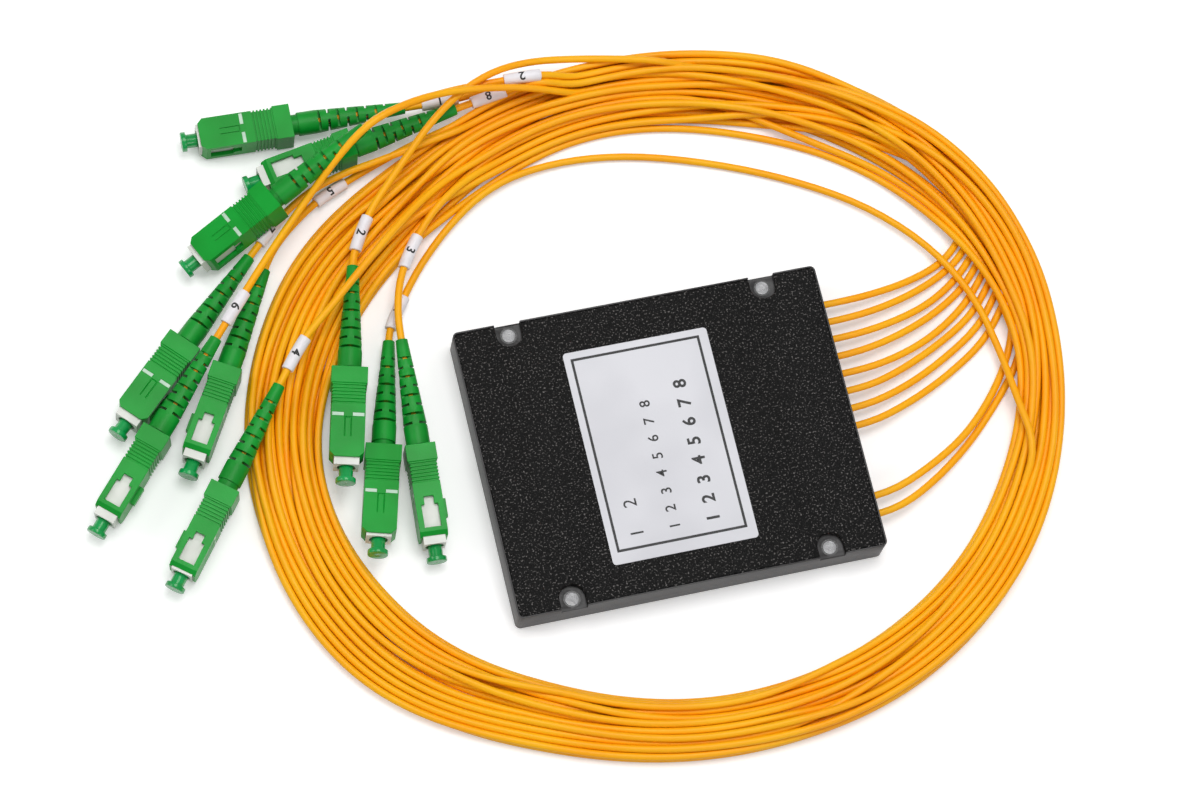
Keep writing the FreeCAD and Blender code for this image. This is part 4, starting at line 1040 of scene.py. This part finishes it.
def make_connector(name):
    """The pieces of one connector that are more than their CAD shapes."""
    pose = POSES[name]
    housing = rounded_copy("housing_" + name, "sleeve_" + name, "sleeve_" + name, "sleeve_plastic", 0.00012,
                           smooth=False)
    x0, x1 = STRIPE_PLACE - STRIPE_WIDTH / 2, STRIPE_PLACE + STRIPE_WIDTH / 2
    plates = [(x0, x1, y, y + STRIPE_LENGTH) for y in STRIPE_STARTS]
    stripes = strips("stripes_" + name, plates, SLEEVE_FACE - STRIPE_BOTTOM, SLEEVE_FACE - STRIPE_TOP,
                     "sleeve_" + name, "sleeve_plastic", "stripe")
    stripes.data.transform(connector_matrix(pose, -pose.back))
    rounded_edges(stripes, 0.00006, smooth=False)
    points, faces = lathe(rounded_profile(CAP_PROFILE, 0.00016), 48)
    cap = mesh_piece("cap_" + name, points, faces, "cap_" + name, "cap_plastic")
    cap.data.transform(connector_matrix(pose))
    for polygon in cap.data.polygons:
        polygon.use_smooth = True
    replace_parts(cap, "dust_cap_" + name)
    spring = add_object("coil_spring_" + name, nodes["ferrule_spring_" + name].data.copy())
    finished(spring, "spring_steel")
    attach(spring, "module")
    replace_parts(spring, "ferrule_spring_" + name)
    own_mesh(spring)
    return [housing, stripes, cap, spring]


for name, obj in cords.items():
    line = Line(line_of(obj))
    on_cord = make_marker(name, line) + make_connector(name)
    on_cord += [nodes["ferrule_" + name], nodes["connector_boots"], nodes["plug_frames"]]
    print(name, "length", round(float(line.run[-1]), 4), "top", round(float(line.points[:, 2].max()), 4))

# ------------------------------------------------------------------ the case and the label

LINE_WIDTH = 0.0007
LINE_LIFT = 0.00002
BORDER_LEFT, BORDER_RIGHT, BORDER_TOP, BORDER_BOTTOM = 0.0018, 0.0024, 0.0019, 0.0032
# rows of port numbers: text, height, distance from the label's left edge, gaps between them, extra weight
ROWS = [("1 2", 0.0036, 0.0083, 4.0, 0.0), ("1 2 3 4 5 6 7 8", 0.0028, 0.0185, 2.6, 0.00004),
        ("1 2 3 4 5 6 7 8", 0.0034, 0.0290, 2.2, 0.00012)]
ROW_START = 0.0072

rounded_copy("base_shell", "case_base", "module", "case_plastic", 0.0005)
rounded_copy("cover_plate", "case_cover", "module", "cover_plastic", 0.0004)
rounded_copy("label_sheet", "cover_label", "module", "label", 0.00005)

label_low, label_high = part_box("cover_label")
x0, x1 = label_low.x + BORDER_LEFT, label_high.x - BORDER_RIGHT
y0, y1 = label_low.y + BORDER_BOTTOM, label_high.y - BORDER_TOP
strips("label_border", [(x0, x1, y0, y0 + LINE_WIDTH), (x0, x1, y1 - LINE_WIDTH, y1),
                        (x0, x0 + LINE_WIDTH, y0 + LINE_WIDTH, y1 - LINE_WIDTH),
                        (x1 - LINE_WIDTH, x1, y0 + LINE_WIDTH, y1 - LINE_WIDTH)],
       label_high.z - LINE_LIFT, label_high.z + LINE_LIFT, "module", "label", "ink")
for i, (text, height, across, gap, weight) in enumerate(ROWS):
    digits = text_mesh(text, height, gap, weight)
    start = min(vertex.co.x for vertex in digits.vertices)
    turn = Matrix.Rotation(math.pi / 2, 4, "Z") @ Matrix.Translation((-start, 0, 0))
    digits.transform(Matrix.Translation((label_low.x + across, label_low.y + ROW_START,
                                         label_high.z + LINE_LIFT)) @ turn)
    row = add_object(f"label_row_{i + 1}", digits)
    finished(row, "label", "ink")
    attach(row, "module")

# ------------------------------------------------------------------ CAD nodes that stay as they are

KEPT = {
    "connector_boots": "boot_rubber",
    "plug_frames": "frame_plastic",
    "corner_bushes": "bush_metal",
    "splitter_chip": "chip_steel",
    "inner_fibres": "bare_fibre",
}
for name in CORDS:
    KEPT["ferrule_" + name] = "ferrule_ceramic"
for node, slot in KEPT.items():
    for place in nodes[node].material_slots:
        place.material = FINISHES[slot]
